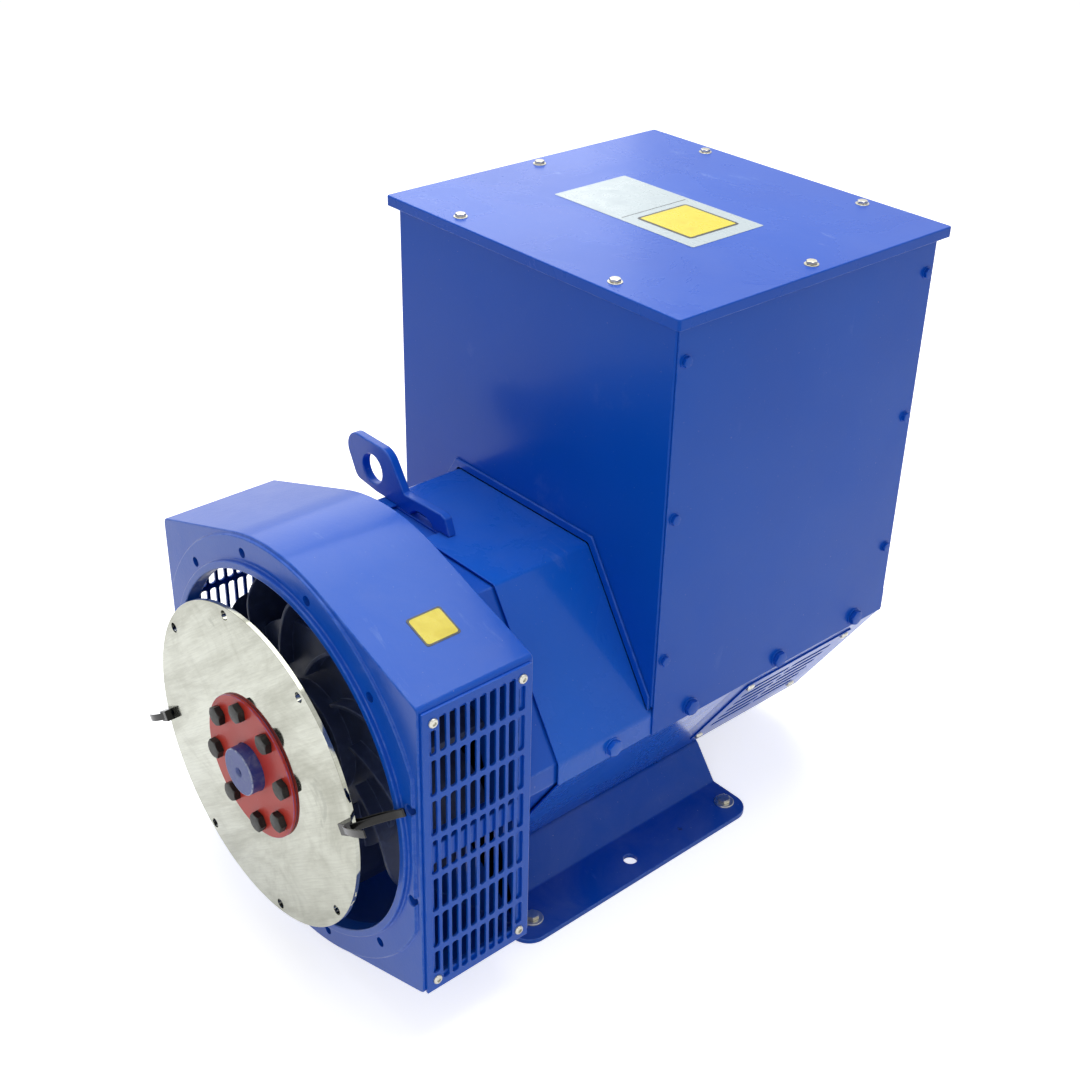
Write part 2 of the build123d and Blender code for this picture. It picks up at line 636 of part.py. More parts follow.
def exciter_rotor_winding():
    """End turns of the exciter armature at both ends of its core."""
    outer = EXCITER_BORE_R - EXCITER_GAP - 6
    ends = (EXCITER_START - EXCITER_COIL, EXCITER_START + EXCITER_LENGTH)
    return group([tube(outer, outer - 26, start, EXCITER_COIL) for start in ends])


def rectifier_start():
    """Front face of the rectifier plates, behind the armature end turns."""
    return EXCITER_START + EXCITER_LENGTH + EXCITER_COIL + RUN_GAP


def rectifier_plates():
    """Two half-round aluminium plates that carry the rotating diodes."""
    ring = Circle(RECTIFIER_R) - Circle(EXCITER_SEAT_R + SEAT_GAP)
    ring -= Rectangle(RECTIFIER_SPLIT, 3 * RECTIFIER_R)
    return along(ring, rectifier_start(), RECTIFIER_PLATE)


def rectifier_diodes():
    """Six stud diodes, three on each plate."""
    one = Pos(0, DIODE_CIRCLE_R) * RegularPolygon(DIODE_R, 6)
    one = along(one, rectifier_start() + RECTIFIER_PLATE, DIODE_HEIGHT)
    return group([spin(one, middle + k * DIODE_STEP) for middle in (90, 270) for k in (-1, 0, 1)])


def surge_suppressors():
    """Two varistor discs, each across a gap between the rectifier plates."""
    one = Pos(0, DIODE_CIRCLE_R) * Circle(SUPPRESSOR_R)
    one = along(one, rectifier_start() + RECTIFIER_PLATE, SUPPRESSOR)
    return group(around(one, 2))


# ================================================================ bearing
def bearing_ring(inner_r, outer_r):
    """Bearing ring with a ball groove."""
    ring = tube(outer_r, inner_r, BEARING_START, BEARING_WIDTH)
    middle = BEARING_START + BEARING_WIDTH / 2
    groove = Plane(origin=(0, middle, 0), z_dir=(0, 1, 0)) * Torus(BALL_CIRCLE_R, BALL_R + BALL_GAP)
    return ring - groove


def bearing_cage():
    """Ball cage with a round pocket for each ball."""
    middle = BEARING_START + BEARING_WIDTH / 2
    half = BALL_R + 2.2
    ring = tube(BALL_CIRCLE_R + 2.4, BALL_CIRCLE_R - 2.4, middle - half, 2 * half)
    pocket = place(Cylinder(BALL_R + BALL_GAP, 20), (0, middle, BALL_CIRCLE_R), (0, 0, 1))
    for cut in around(pocket, BALL_COUNT):
        ring -= cut
    return ring


def bearing_balls():
    """Steel balls of the rear bearing."""
    middle = BEARING_START + BEARING_WIDTH / 2
    return group(around(Pos(0, middle, BALL_CIRCLE_R) * Sphere(BALL_R), BALL_COUNT))


def bearing_circlip():
    """Retaining ring behind the bearing."""
    start = BEARING_START + BEARING_WIDTH + CIRCLIP_GAP
    ring = tube(BEARING_BORE_R + 3.5, BEARING_BORE_R - 1.2, start, CIRCLIP)
    gap = Pos(0, start, BEARING_BORE_R) * Box(8, 10, 12)
    return ring - gap


def bearing_o_ring():
    """Rubber ring that stops the outer race from turning in the bracket."""
    middle = BEARING_START + BEARING_WIDTH / 2
    return tube(BEARING_R + 3.2, BEARING_R + 0.2, middle - O_RING / 2, O_RING)


# ================================================================ rear bracket
def rear_bracket():
    """Cast rear housing: outer shell, exciter barrel, bearing boss and two inlet windows."""
    start = CORE_START + CORE_LENGTH + END_RING
    body = along(frame_section(), start, BRACKET_END - start)
    body -= along(frame_section(BRACKET_WALL), start + BRACKET_BACK, BRACKET_END - start - 2 * BRACKET_BACK)
    body -= tube(WINDING_R + 4, 0, start, BRACKET_BACK)
    barrel_r = EXCITER_R + SEAT_GAP
    body += tube(barrel_r + BARREL_WALL, barrel_r, EXCITER_START, BRACKET_END - EXCITER_START)
    boss_start = BEARING_START - BOSS_LIP
    body += tube(BEARING_BOSS_R, 0, boss_start, BRACKET_END - boss_start)
    body -= tube(BEARING_R + SEAT_GAP, 0, BEARING_START, BRACKET_END - BEARING_START)
    body -= tube(BEARING_BORE_R + 9, 0, boss_start - 1, BOSS_LIP + 2)
    middle = BEARING_START + BEARING_WIDTH / 2
    body -= tube(BEARING_R + 3.4, BEARING_R - 1, middle - O_RING / 2 - 0.2, O_RING + 0.4)
    for side in (-1, 1):
        body -= lower_slope_plane(side) * window_block(side)
        for y, s in louvre_screw_points():
            at = lower_slope_plane(side) * Pos(side * y, s)
            body -= at * Cylinder(LOUVRE_SCREW_R + BOLT_GAP, 30)
        for y in bracket_bolt_y():
            body -= place(Cylinder(LARGE_BOLT_R + BOLT_GAP, 40), (side * FRAME_HALF, y, 0), (side, 0, 0))
    port = Pos(0, EXCITER_R + BARREL_WALL / 2) * Rectangle(BARREL_PORT[0], 4 * BARREL_WALL)
    port = along(port, EXCITER_START + EXCITER_LENGTH + PORT_SETBACK, BARREL_PORT[1])
    for cut in around(port, BARREL_PORTS, 180.0 / BARREL_PORTS):
        body -= cut
    for cut in ring_bolt_holes(BRACKET_BOLT_ANGLES, start - 1, BRACKET_BACK + 2):
        body -= cut
    hole = Pos(0, cap_bolt_r()) * Circle(SMALL_BOLT_R + BOLT_GAP)
    hole = along(hole, BRACKET_END - 2 * SHANK, 2 * SHANK + 1)
    for cut in around(hole, CAP_BOLTS, 45):
        body -= cut
    return body


def bracket_bolt_y():
    """Places of the large side bolts that reach the rear bracket."""
    return [y for y in BASE_BOLT_Y if y > CORE_START + CORE_LENGTH + END_RING]


def louvre_centre():
    """Centre of a louvre on the lower slope: along the shaft and up the slope."""
    return LOUVRE_START + LOUVRE_LENGTH / 2, -(LOUVRE_TOP + LOUVRE_HEIGHT / 2)


def window_block(side):
    """Cutter for the inlet window behind a louvre, in the plane of the lower slope."""
    y, s = louvre_centre()
    block = Box(LOUVRE_LENGTH - 2 * LOUVRE_FRAME, LOUVRE_HEIGHT - 2 * LOUVRE_FRAME, 5 * BRACKET_WALL)
    return Pos(side * y, s) * block


def louvre_screw_points():
    """Screw places of a louvre."""
    y, s = louvre_centre()
    dy = LOUVRE_LENGTH / 2 - LOUVRE_FRAME / 2
    ds = LOUVRE_HEIGHT / 2 - LOUVRE_FRAME / 2
    return [(y + a * dy, s + b * ds) for a in (-1, 1) for b in (-1, 1)]


def inlet_louvre(side):
    """Sheet cover with long slots along the shaft over an inlet window."""
    y, s = louvre_centre()
    sheet = Rectangle(LOUVRE_LENGTH, LOUVRE_HEIGHT)
    pitch = (LOUVRE_HEIGHT - 2 * LOUVRE_FRAME) / LOUVRE_ROWS
    slot_length = (LOUVRE_LENGTH - 2 * LOUVRE_FRAME) / 2 - 6
    for row in range(LOUVRE_ROWS):
        for half in (-1, 1):
            at = Pos(half * (slot_length / 2 + 3), (row - (LOUVRE_ROWS - 1) / 2) * pitch)
            sheet -= at * RectangleRounded(slot_length, LOUVRE_SLOT, LOUVRE_SLOT / 2.2)
    for py, ps in louvre_screw_points():
        sheet -= Pos(py - y, ps - s) * Circle(LOUVRE_SCREW_R + BOLT_GAP)
    return lower_slope_plane(side) * Pos(side * y, s) * extrude(sheet, amount=LOUVRE_SHEET)


def louvre_screws():
    """Screws of both inlet louvres."""
    screw = Pos(0, 0, LOUVRE_HEAD / 2) * Cylinder(LOUVRE_HEAD_R, LOUVRE_HEAD)
    screw += Pos(0, 0, -SHANK / 2) * Cylinder(LOUVRE_SCREW_R, SHANK)
    return group([lower_slope_plane(side) * Pos(side * y, s, LOUVRE_SHEET) * screw
                  for side in (-1, 1) for y, s in louvre_screw_points()])


# ================================================================ feet and lifting
def foot_section():
    """Bent plate: a flange under the frame, a sloping web and the flat foot."""
    half = FOOT_SHEET / 2
    run = (FOOT_HEEL - FRAME_BOTTOM_HALF, FOOT_PLANE + FOOT_SHEET - FRAME_BOTTOM)
    length = hypot(*run)
    web_x = FRAME_BOTTOM_HALF + half * run[1] / length
    web_z = FRAME_BOTTOM - half * run[0] / length
    top, low = FRAME_BOTTOM - half, FOOT_PLANE + half
    slope = run[0] / run[1]
    crease = web_x + (top - web_z) * slope
    heel = web_x + (low - web_z) * slope
    line = FilletPolyline((FOOT_INNER, top), (crease, top), (heel, low), (FOOT_OUTER, low), radius=FOOT_BEND)
    return trace(line, FOOT_SHEET)


def foot_bolt_points():
    """Bolts that hold each foot to its rail: half the distance between the rows, and along the shaft."""
    return [(RAIL_X, CORE_START + CORE_LENGTH * share) for share in (0.1, 0.5, 0.9)]


def foot(side):
    """Foot along one side of the frame, with hold-down holes."""
    body = along(foot_section(), FOOT_START, FOOT_LENGTH)
    outer = [e for e in body.edges().filter_by(Axis.Z) if abs(e.center().X - FOOT_OUTER) < 0.1]
    body = fillet(outer, FOOT_CORNER_R)
    holes = [(FOOT_HOLE_FRONT, FOOT_HOLE_R), (FOOT_HOLE_FRONT + FOOT_HOLE_SPACING_Y, FOOT_HOLE_R),
             (FOOT_MIDDLE_HOLE_Y, FOOT_MIDDLE_HOLE_R), (FOOT_SMALL_HOLE_Y, FOOT_SMALL_HOLE_R)]
    for y, radius in holes:
        body -= Pos(FOOT_HOLE_X, y, FOOT_PLANE) * Cylinder(radius, 4 * FOOT_SHEET)
    for x, y in foot_bolt_points():
        body -= Pos(x, y, FRAME_BOTTOM) * Cylinder(LARGE_BOLT_R + BOLT_GAP, 4 * FOOT_SHEET)
    return body if side > 0 else mirror(body, Plane.YZ)


def foot_bolts():
    """Bolts up through the feet and the lower cover into the foot rails."""
    one = bolt(LARGE_HEAD_AF, LARGE_HEAD, LARGE_BOLT_R, FOOT_SHEET + COVER_SHEET + RAIL_GRIP)
    return group([place(one, (side * x, y, FRAME_BOTTOM - FOOT_SHEET), (0, 0, -1))
                  for side in (-1, 1) for x, y in foot_bolt_points()])


def lifting_lug():
    """Flat plate welded on the front clamping ring: a head with the eye, and a leg over a low arch."""
    floor = FRAME_TOP + LUG_LIFT
    head = make_hull([edge for x, z, r in LUG_HEAD for edge in (Pos(x, z) * Circle(r)).edges()])
    stem_x, stem_z, stem_r = LUG_HEAD[-1]
    leg = polygon([(stem_x, floor), (stem_x, LUG_LEG_TOP - 4), (LUG_LEG_END - 14, LUG_LEG_TOP),
                   (LUG_LEG_END - 7, LUG_LEG_TOP - 3), (LUG_LEG_END, floor)])
    plate = head + leg - Pos(stem_x, floor - FRAME_TOP / 2) * Rectangle(2 * FRAME_TOP, FRAME_TOP)
    tongue = (NOTCH[1] - NOTCH[0] - 2 * RUN_GAP, floor - FRAME_TOP + COVER_SHEET)
    plate += Pos((NOTCH[0] + NOTCH[1]) / 2, FRAME_TOP - COVER_SHEET + tongue[1] / 2) * Rectangle(*tongue)
    arch_half = (LUG_ARCH[1] - LUG_ARCH[0]) / 2
    plate -= Pos(LUG_ARCH[0] + arch_half, FRAME_TOP - COVER_SHEET) * Ellipse(arch_half, 10)
    plate -= Pos(*LUG_EYE) * Circle(LUG_EYE_R)
    return along(plate, CORE_START - END_RING, END_RING)


# ================================================================ terminal box
def box_end():
    """Outer face of the rear panel."""
    return BOX_START + BOX_LENGTH


def flange_top():
    """Top of the folded flanges, on which the lid rests."""
    return LID_TOP - PANEL_SHEET


def end_panel(outer_face, inward):
    """End panel over the frame, with a cut-out and flanges folded inwards on three edges."""
    half = FRAME_HALF
    height = flange_top() - SKIRT_BOTTOM
    sheet = Pos(0, SKIRT_BOTTOM + height / 2) * Rectangle(2 * half, height)
    cut = Pos(0, SKIRT_BOTTOM) * Rectangle(4 * half, 2 * (SKIRT_TOP - SKIRT_BOTTOM))
    cut += frame_section(-CUT_OUT_GAP)
    fold = PANEL_SHEET + FLANGE_FOLD
    outer = sheet - cut
    inner = Pos(0, SKIRT_BOTTOM + height / 2 - PANEL_SHEET) * Rectangle(2 * half - 2 * PANEL_SHEET, height)
    start = outer_face if inward > 0 else outer_face - fold
    body = along(outer, start, fold)
    hollow = start + PANEL_SHEET if inward > 0 else start
    body -= along(inner, hollow, FLANGE_FOLD)
    corners = [e for e in body.edges().filter_by(Axis.Z)
               if abs(abs(e.center().X) - half) < 0.1 and abs(e.center().Y - outer_face) < 0.1]
    body = fillet(corners, PANEL_BEND)
    for x in (-LID_BOLT_X, LID_BOLT_X):
        y = outer_face + inward * LID_BOLT_INSET
        body -= Pos(x, y, flange_top()) * Cylinder(SMALL_BOLT_R + BOLT_GAP, 6 * PANEL_SHEET)
    for side in (-1, 1):
        for z in SIDE_BOLT_ROWS:
            at = (side * half, outer_face + inward * SIDE_BOLT_INSET, z)
            body -= place(Cylinder(SMALL_BOLT_R + BOLT_GAP, 6 * PANEL_SHEET), at, (side, 0, 0))
    return body


def side_panel(side):
    """Tall side panel, bolted to both end panels and down to the frame."""
    height = flange_top() - SKIRT_BOTTOM
    length = BOX_LENGTH - 2 * SIDE_PANEL_INSET
    middle = BOX_START + BOX_LENGTH / 2
    body = Box(PANEL_SHEET, length, height)
    body = Pos(FRAME_HALF + PANEL_SHEET / 2, middle, SKIRT_BOTTOM + height / 2) * body
    flange = BOX_LENGTH - 2 * (PANEL_SHEET + FLANGE_FOLD + 1)
    body += Pos(FRAME_HALF - FLANGE_FOLD / 2, middle, flange_top() - PANEL_SHEET / 2) * Box(
        FLANGE_FOLD, flange, PANEL_SHEET)
    for y, z in side_bolt_points():
        body -= place(Cylinder(SMALL_BOLT_R + BOLT_GAP, 6 * PANEL_SHEET), (FRAME_HALF, y, z), (1, 0, 0))
    for y in BASE_BOLT_Y:
        body -= place(Cylinder(LARGE_BOLT_R + BOLT_GAP, 6 * PANEL_SHEET), (FRAME_HALF, y, 0), (1, 0, 0))
    body -= Pos(LID_SIDE_BOLT_X, middle, flange_top()) * Cylinder(SMALL_BOLT_R + BOLT_GAP, 6 * PANEL_SHEET)
    return body if side > 0 else mirror(body, Plane.YZ)


def side_bolt_points():
    """Small bolts of a side panel, along the shaft and up."""
    ends = (BOX_START + SIDE_BOLT_INSET, box_end() - SIDE_BOLT_INSET)
    return [(y, z) for y in ends for z in SIDE_BOLT_ROWS]


def lid_bolt_points():
    """Bolts of the lid, across and along the shaft."""
    middle = BOX_START + BOX_LENGTH / 2
    ends = [(x, y) for x in (-LID_BOLT_X, LID_BOLT_X)
            for y in (BOX_START + LID_BOLT_INSET, box_end() - LID_BOLT_INSET)]
    return ends + [(-LID_SIDE_BOLT_X, middle), (LID_SIDE_BOLT_X, middle)]


def terminal_box_lid():
    """Lid with a folded lip all round."""
    size = (2 * (FRAME_HALF + PANEL_SHEET + LID_OVERHANG), BOX_LENGTH + 2 * LID_OVERHANG)
    outer = Pos(0, 0, -LID_LIP / 2) * Box(*size, LID_LIP)
    outer = fillet(outer.edges().filter_by(Axis.Z), LID_CORNER_R)
    top = outer.faces().sort_by(Axis.Z)[-1]
    outer = fillet(top.edges(), PANEL_SHEET * 0.75)
    hollow = Box(size[0] - 2 * PANEL_SHEET, size[1] - 2 * PANEL_SHEET, LID_LIP)
    body = outer - Pos(0, 0, -LID_LIP / 2 - PANEL_SHEET) * hollow
    body = Pos(0, BOX_START + BOX_LENGTH / 2, LID_TOP) * body
    for x, y in lid_bolt_points():
        body -= Pos(x, y, LID_TOP) * Cylinder(SMALL_BOLT_R + BOLT_GAP, 6 * PANEL_SHEET)
    return body


def lid_bolts():
    """Hexagon bolts of the lid."""
    one = bolt(SMALL_HEAD_AF, SMALL_HEAD, SMALL_BOLT_R, SHANK)
    return group([Pos(x, y, LID_TOP) * one for x, y in lid_bolt_points()])


def side_panel_bolts():
    """Small bolts of both side panels."""
    one = bolt(SMALL_HEAD_AF, SMALL_HEAD, SMALL_BOLT_R, SHANK)
    face = FRAME_HALF + PANEL_SHEET
    return group([place(one, (side * face, y, z), (side, 0, 0))
                  for side in (-1, 1) for y, z in side_bolt_points()])


def side_panel_base_bolts():
    """Large bolts through the foot of both side panels into the frame and the rear bracket."""
    one = bolt(LARGE_HEAD_AF, LARGE_HEAD, LARGE_BOLT_R, PANEL_SHEET + SHANK)
    face = FRAME_HALF + PANEL_SHEET
    return group([place(one, (side * face, y, 0), (side, 0, 0)) for side in (-1, 1) for y in BASE_BOLT_Y])


def frame_cover_bolts():
    """Large bolts through the skirts of the upper cover into the side rails."""
    one = bolt(LARGE_HEAD_AF, LARGE_HEAD, LARGE_BOLT_R, SHANK)
    return group([place(one, (side * FRAME_HALF, COVER_BOLT_Y, 0), (side, 0, 0)) for side in (-1, 1)])


def edging_strip():
    """Channel strip on the cut edge of the drive end panel, over the frame cover."""
    strip = frame_section(-CUT_OUT_GAP - STRIP_WIDTH) - frame_section(-RUN_GAP)
    width = 2 * (FRAME_HALF - PANEL_SHEET - RUN_GAP)
    strip &= Pos(0, SKIRT_TOP + STRIP_FOOT + FRAME_HALF) * Rectangle(width, 2 * FRAME_HALF)
    body = along(strip, BOX_START - STRIP_DEPTH, 2 * STRIP_DEPTH + PANEL_SHEET)
    slot = frame_section(-CUT_OUT_GAP - 2 * STRIP_WIDTH) - frame_section(-CUT_OUT_GAP)
    return body - along(slot, BOX_START, PANEL_SHEET)


# ================================================================ inside the terminal box
def terminal_tray():
    """Bent sheet bridge on the frame cover that carries the terminal board."""
    top = FRAME_TOP + TRAY_HEIGHT
    half = TRAY_TOP_HALF
    foot_x = half + TRAY_FOOT
    points = [(-foot_x, FRAME_TOP + 1), (-half, FRAME_TOP + 1), (-half, top - 1), (half, top - 1),
              (half, FRAME_TOP + 1), (foot_x, FRAME_TOP + 1)]
    sheet = trace(FilletPolyline(*points, radius=3), PANEL_SHEET)
    body = along(sheet, tray_middle() - TRAY_LENGTH / 2, TRAY_LENGTH)
    for x in stud_places():
        body -= Pos(x, tray_middle(), top) * Cylinder(STUD_R + BOLT_GAP, 4 * PANEL_SHEET)
    return body


def tray_middle():
    """Middle of the tray along the shaft, just short of the rear end of the core."""
    return CORE_START + CORE_LENGTH - TRAY_SETBACK - TRAY_LENGTH / 2


def stud_places():
    """Places of the terminal studs across the board."""
    return [(k - (STUDS - 1) / 2) * STUD_PITCH for k in range(STUDS)]


def terminal_board():
    """Insulating board with a hole for each stud."""
    body = Pos(0, tray_middle(), FRAME_TOP + TRAY_HEIGHT + BOARD[2] / 2) * Box(*BOARD)
    body = fillet(body.edges().filter_by(Axis.Z), 4)
    for x in stud_places():
        body -= Pos(x, tray_middle(), FRAME_TOP + TRAY_HEIGHT) * Cylinder(STUD_R + BOLT_GAP, 4 * BOARD[2])
    return body


def terminal_studs():
    """Studs with their base nuts, standing through the board."""
    base = FRAME_TOP + TRAY_HEIGHT + BOARD[2]
    length = STUD_HEIGHT + BOARD[2]
    one = Pos(0, 0, base - BOARD[2] + length / 2) * Cylinder(STUD_R, length)
    one += Pos(0, 0, base) * extrude(RegularPolygon(STUD_R * 1.9, 6), amount=STUD_NUT)
    return group([Pos(x, tray_middle(), 0) * one for x in stud_places()])


def terminal_links():
    """Copper bars that join the studs in pairs."""
    base = FRAME_TOP + TRAY_HEIGHT + BOARD[2] + STUD_NUT
    bars = []
    for k in range(0, STUDS, 2):
        left, right = stud_places()[k], stud_places()[k + 1]
        bar = SlotCenterToCenter(right - left, 4.4 * STUD_R)
        for x in (left - right, right - left):
            bar -= Pos(x / 2, 0) * Circle(STUD_R + BOLT_GAP)
        at = Pos((left + right) / 2, tray_middle(), base)
        bars.append(at * extrude(bar, amount=LINK))
    return group(bars)


def voltage_regulator():
    """Potted voltage regulator on the inner face of the left side panel."""
    depth, length, height = REGULATOR
    body = Box(depth, length, height)
    body = fillet(body.edges().filter_by(Axis.X), 10)
    return Pos(-FRAME_HALF + MOUNT_HEIGHT + depth / 2, regulator_middle(), REGULATOR_Z) * body


def regulator_middle():
    """Middle of the regulator along the shaft, at a fixed distance from the rear panel."""
    return box_end() - REGULATOR_INSET


def regulator_mounts():
    """Four rubber mounts between the regulator and the panel."""
    one = Cylinder(MOUNT_R, MOUNT_HEIGHT)
    x = -FRAME_HALF + MOUNT_HEIGHT / 2
    dy = REGULATOR[1] / 2 - 2 * MOUNT_R
    dz = REGULATOR[2] / 2 - 2 * MOUNT_R
    places = [(x, regulator_middle() + a * dy, REGULATOR_Z + b * dz) for a in (-1, 1) for b in (-1, 1)]
    return group([place(one, at, (1, 0, 0)) for at in places])


# ================================================================ axial bolts and cap
def ring_bolt_angles(angles):
    """Bolt angles on both sides of the machine."""
    return [side * angle for side in (-1, 1) for angle in angles]


def ring_bolts(angles, head_face, direction, grip):
    """Axial bolts into one of the clamping rings."""
    one = bolt(LARGE_HEAD_AF, LARGE_HEAD, LARGE_BOLT_R, grip)
    one = place(one, (0, head_face, RING_BOLT_R), (0, direction, 0))
    return group([spin(one, angle) for angle in ring_bolt_angles(angles)])


def ring_bolt_holes(angles, start, length):
    """Cutters for the axial bolts."""
    hole = along(Pos(0, RING_BOLT_R) * Circle(LARGE_BOLT_R + BOLT_GAP), start, length)
    return [spin(hole, angle) for angle in ring_bolt_angles(angles)]


def adaptor_bolts():
    """Bolts that hold the adaptor's neck to the front clamping ring."""
    face = CORE_START - END_RING - NECK_FLANGE
    return ring_bolts(ADAPTOR_BOLT_ANGLES, face, -1, NECK_FLANGE + SHANK)


def bracket_bolts():
    """Bolts that hold the rear bracket to the rear clamping ring."""
    face = CORE_START + CORE_LENGTH + END_RING + BRACKET_BACK
    return ring_bolts(BRACKET_BOLT_ANGLES, face, 1, BRACKET_BACK + SHANK)


def bearing_cap():
    """Round cap over the bearing, on the back of the bracket."""
    body = tube(CAP_R, 0, BRACKET_END, CAP_SHEET)
    body += tube(BEARING_R - RUN_GAP, BEARING_R - CAP_LIP, BRACKET_END - CAP_LIP, CAP_LIP)
    back = BRACKET_END + CAP_SHEET - 0.1
    rim = [e for e in body.edges().filter_by(GeomType.CIRCLE) if e.center().Y > back]
    body = fillet(rim, 2)
    hole = along(Pos(0, cap_bolt_r()) * Circle(SMALL_BOLT_R + BOLT_GAP), BRACKET_END - 1, CAP_SHEET + 2)
    for cut in around(hole, CAP_BOLTS, 45):
        body -= cut
    return body


def cap_bolt_r():
    """Bolt circle radius of the bearing cap, in the middle of the boss wall."""
    return (BEARING_R + CAP_R) / 2 + 1


def bearing_cap_bolts():
    """Small bolts of the bearing cap."""
    one = bolt(SMALL_HEAD_AF, SMALL_HEAD, SMALL_BOLT_R, CAP_SHEET + SHANK)
    one = place(one, (0, BRACKET_END + CAP_SHEET, cap_bolt_r()), (0, 1, 0))
    return group(around(one, CAP_BOLTS, 45))


def exciter_stator_winding():
    """End turns of the exciter field coils."""
    inner = EXCITER_BORE_R + 5
    ends = (EXCITER_START - EXCITER_COIL, EXCITER_START + EXCITER_LENGTH)
    return group([tube(EXCITER_R - 4, inner, start, EXCITER_COIL) for start in ends])


def winding_wedges():
    """Wedge blocks between neighbouring rotor coils."""
    side = (POLE_NECK_HALF + COIL_WIDTH) * sqrt(2) + 1.5 * COIL_GAP
    low, high = side + 8, side + 24
    bar = polygon([(low - side, low), (high - side, high), (side - high, high), (side - low, low)])
    return group(around(along(bar, CORE_START, CORE_LENGTH), POLES, 180.0 / POLES))


PIECES = {
    "drive_end_adaptor": drive_end_adaptor,
    "air_screen_right": lambda: air_screen(1),
    "air_screen_left": lambda: air_screen(-1),
    "screen_screws": screen_screws,
    "adaptor_bolts": adaptor_bolts,
    "stator_frame": stator_frame,
    "stator_core": stator_core,
    "stator_winding_front": lambda: stator_winding(True),
    "stator_winding_rear": lambda: stator_winding(False),
    "frame_cover_top": lambda: frame_cover(True),
    "frame_cover_bottom": lambda: frame_cover(False),
    "frame_cover_bolts": frame_cover_bolts,
    "foot_right": lambda: foot(1),
    "foot_left": lambda: foot(-1),
    "foot_bolts": foot_bolts,
    "lifting_lug": lifting_lug,
    "box_panel_drive_end": lambda: end_panel(BOX_START, 1),
    "box_panel_rear": lambda: end_panel(box_end(), -1),
    "side_panel_right": lambda: side_panel(1),
    "side_panel_left": lambda: side_panel(-1),
    "terminal_box_lid": terminal_box_lid,
    "lid_bolts": lid_bolts,
    "side_panel_bolts": side_panel_bolts,
    "side_panel_base_bolts": side_panel_base_bolts,
    "edging_strip": edging_strip,
    "terminal_tray": terminal_tray,
    "terminal_board": terminal_board,
    "terminal_studs": terminal_studs,
    "terminal_links": terminal_links,
    "voltage_regulator": voltage_regulator,
    "regulator_mounts": regulator_mounts,
    "rear_bracket": rear_bracket,
    "bracket_bolts": bracket_bolts,
    "inlet_louvre_right": lambda: inlet_louvre(1),
    "inlet_louvre_left": lambda: inlet_louvre(-1),
    "louvre_screws": louvre_screws,
    "exciter_stator_core": lambda: tube(EXCITER_R, EXCITER_BORE_R, EXCITER_START, EXCITER_LENGTH),
    "exciter_stator_winding": exciter_stator_winding,
    "bearing_outer_ring": lambda: bearing_ring(BALL_CIRCLE_R + RACE, BEARING_R),
    "bearing_o_ring": bearing_o_ring,
    "bearing_cap": bearing_cap,
    "bearing_cap_bolts": bearing_cap_bolts,
    "shaft": shaft,
    "coupling_hub": coupling_hub,
    "coupling_discs": coupling_discs,
    "pressure_plate": pressure_plate,
    "coupling_bolts": coupling_bolts,
    "fan": fan,
    "rotor_core": rotor_core,
    "rotor_windings": rotor_windings,
    "winding_wedges": winding_wedges,
    "exciter_rotor_core": exciter_rotor_core,
    "exciter_rotor_winding": exciter_rotor_winding,
    "rectifier_plates": rectifier_plates,
    "rectifier_diodes": rectifier_diodes,
    "surge_suppressors": surge_suppressors,
    "bearing_inner_ring": lambda: bearing_ring(BEARING_BORE_R + SEAT_GAP, BALL_CIRCLE_R - RACE),
    "bearing_circlip": bearing_circlip,
    "bearing_balls": bearing_balls,
    "bearing_cage": bearing_cage,
}


def main():
    """Write one STEP file for each piece."""
    os.makedirs("parts", exist_ok=True)
    for name, make in PIECES.items():
        shape = make()
        export_step(shape, f"parts/{name}.step")


if __name__ == "__main__":
    main()
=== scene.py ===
"""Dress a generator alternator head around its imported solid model.

Sizes are in metres.  The shaft axis is Y, the engine side is -Y, +Z is up, and the origin is
on the shaft axis in the face of the engine flange.
"""
import json
import logging
from collections.abc import Callable, Iterable, Sequence
from dataclasses import dataclass
from enum import Enum
from itertools import product
from math import cos, pi, radians, sin, sqrt, tan

import bmesh
import bpy
from mathutils import Matrix, Vector

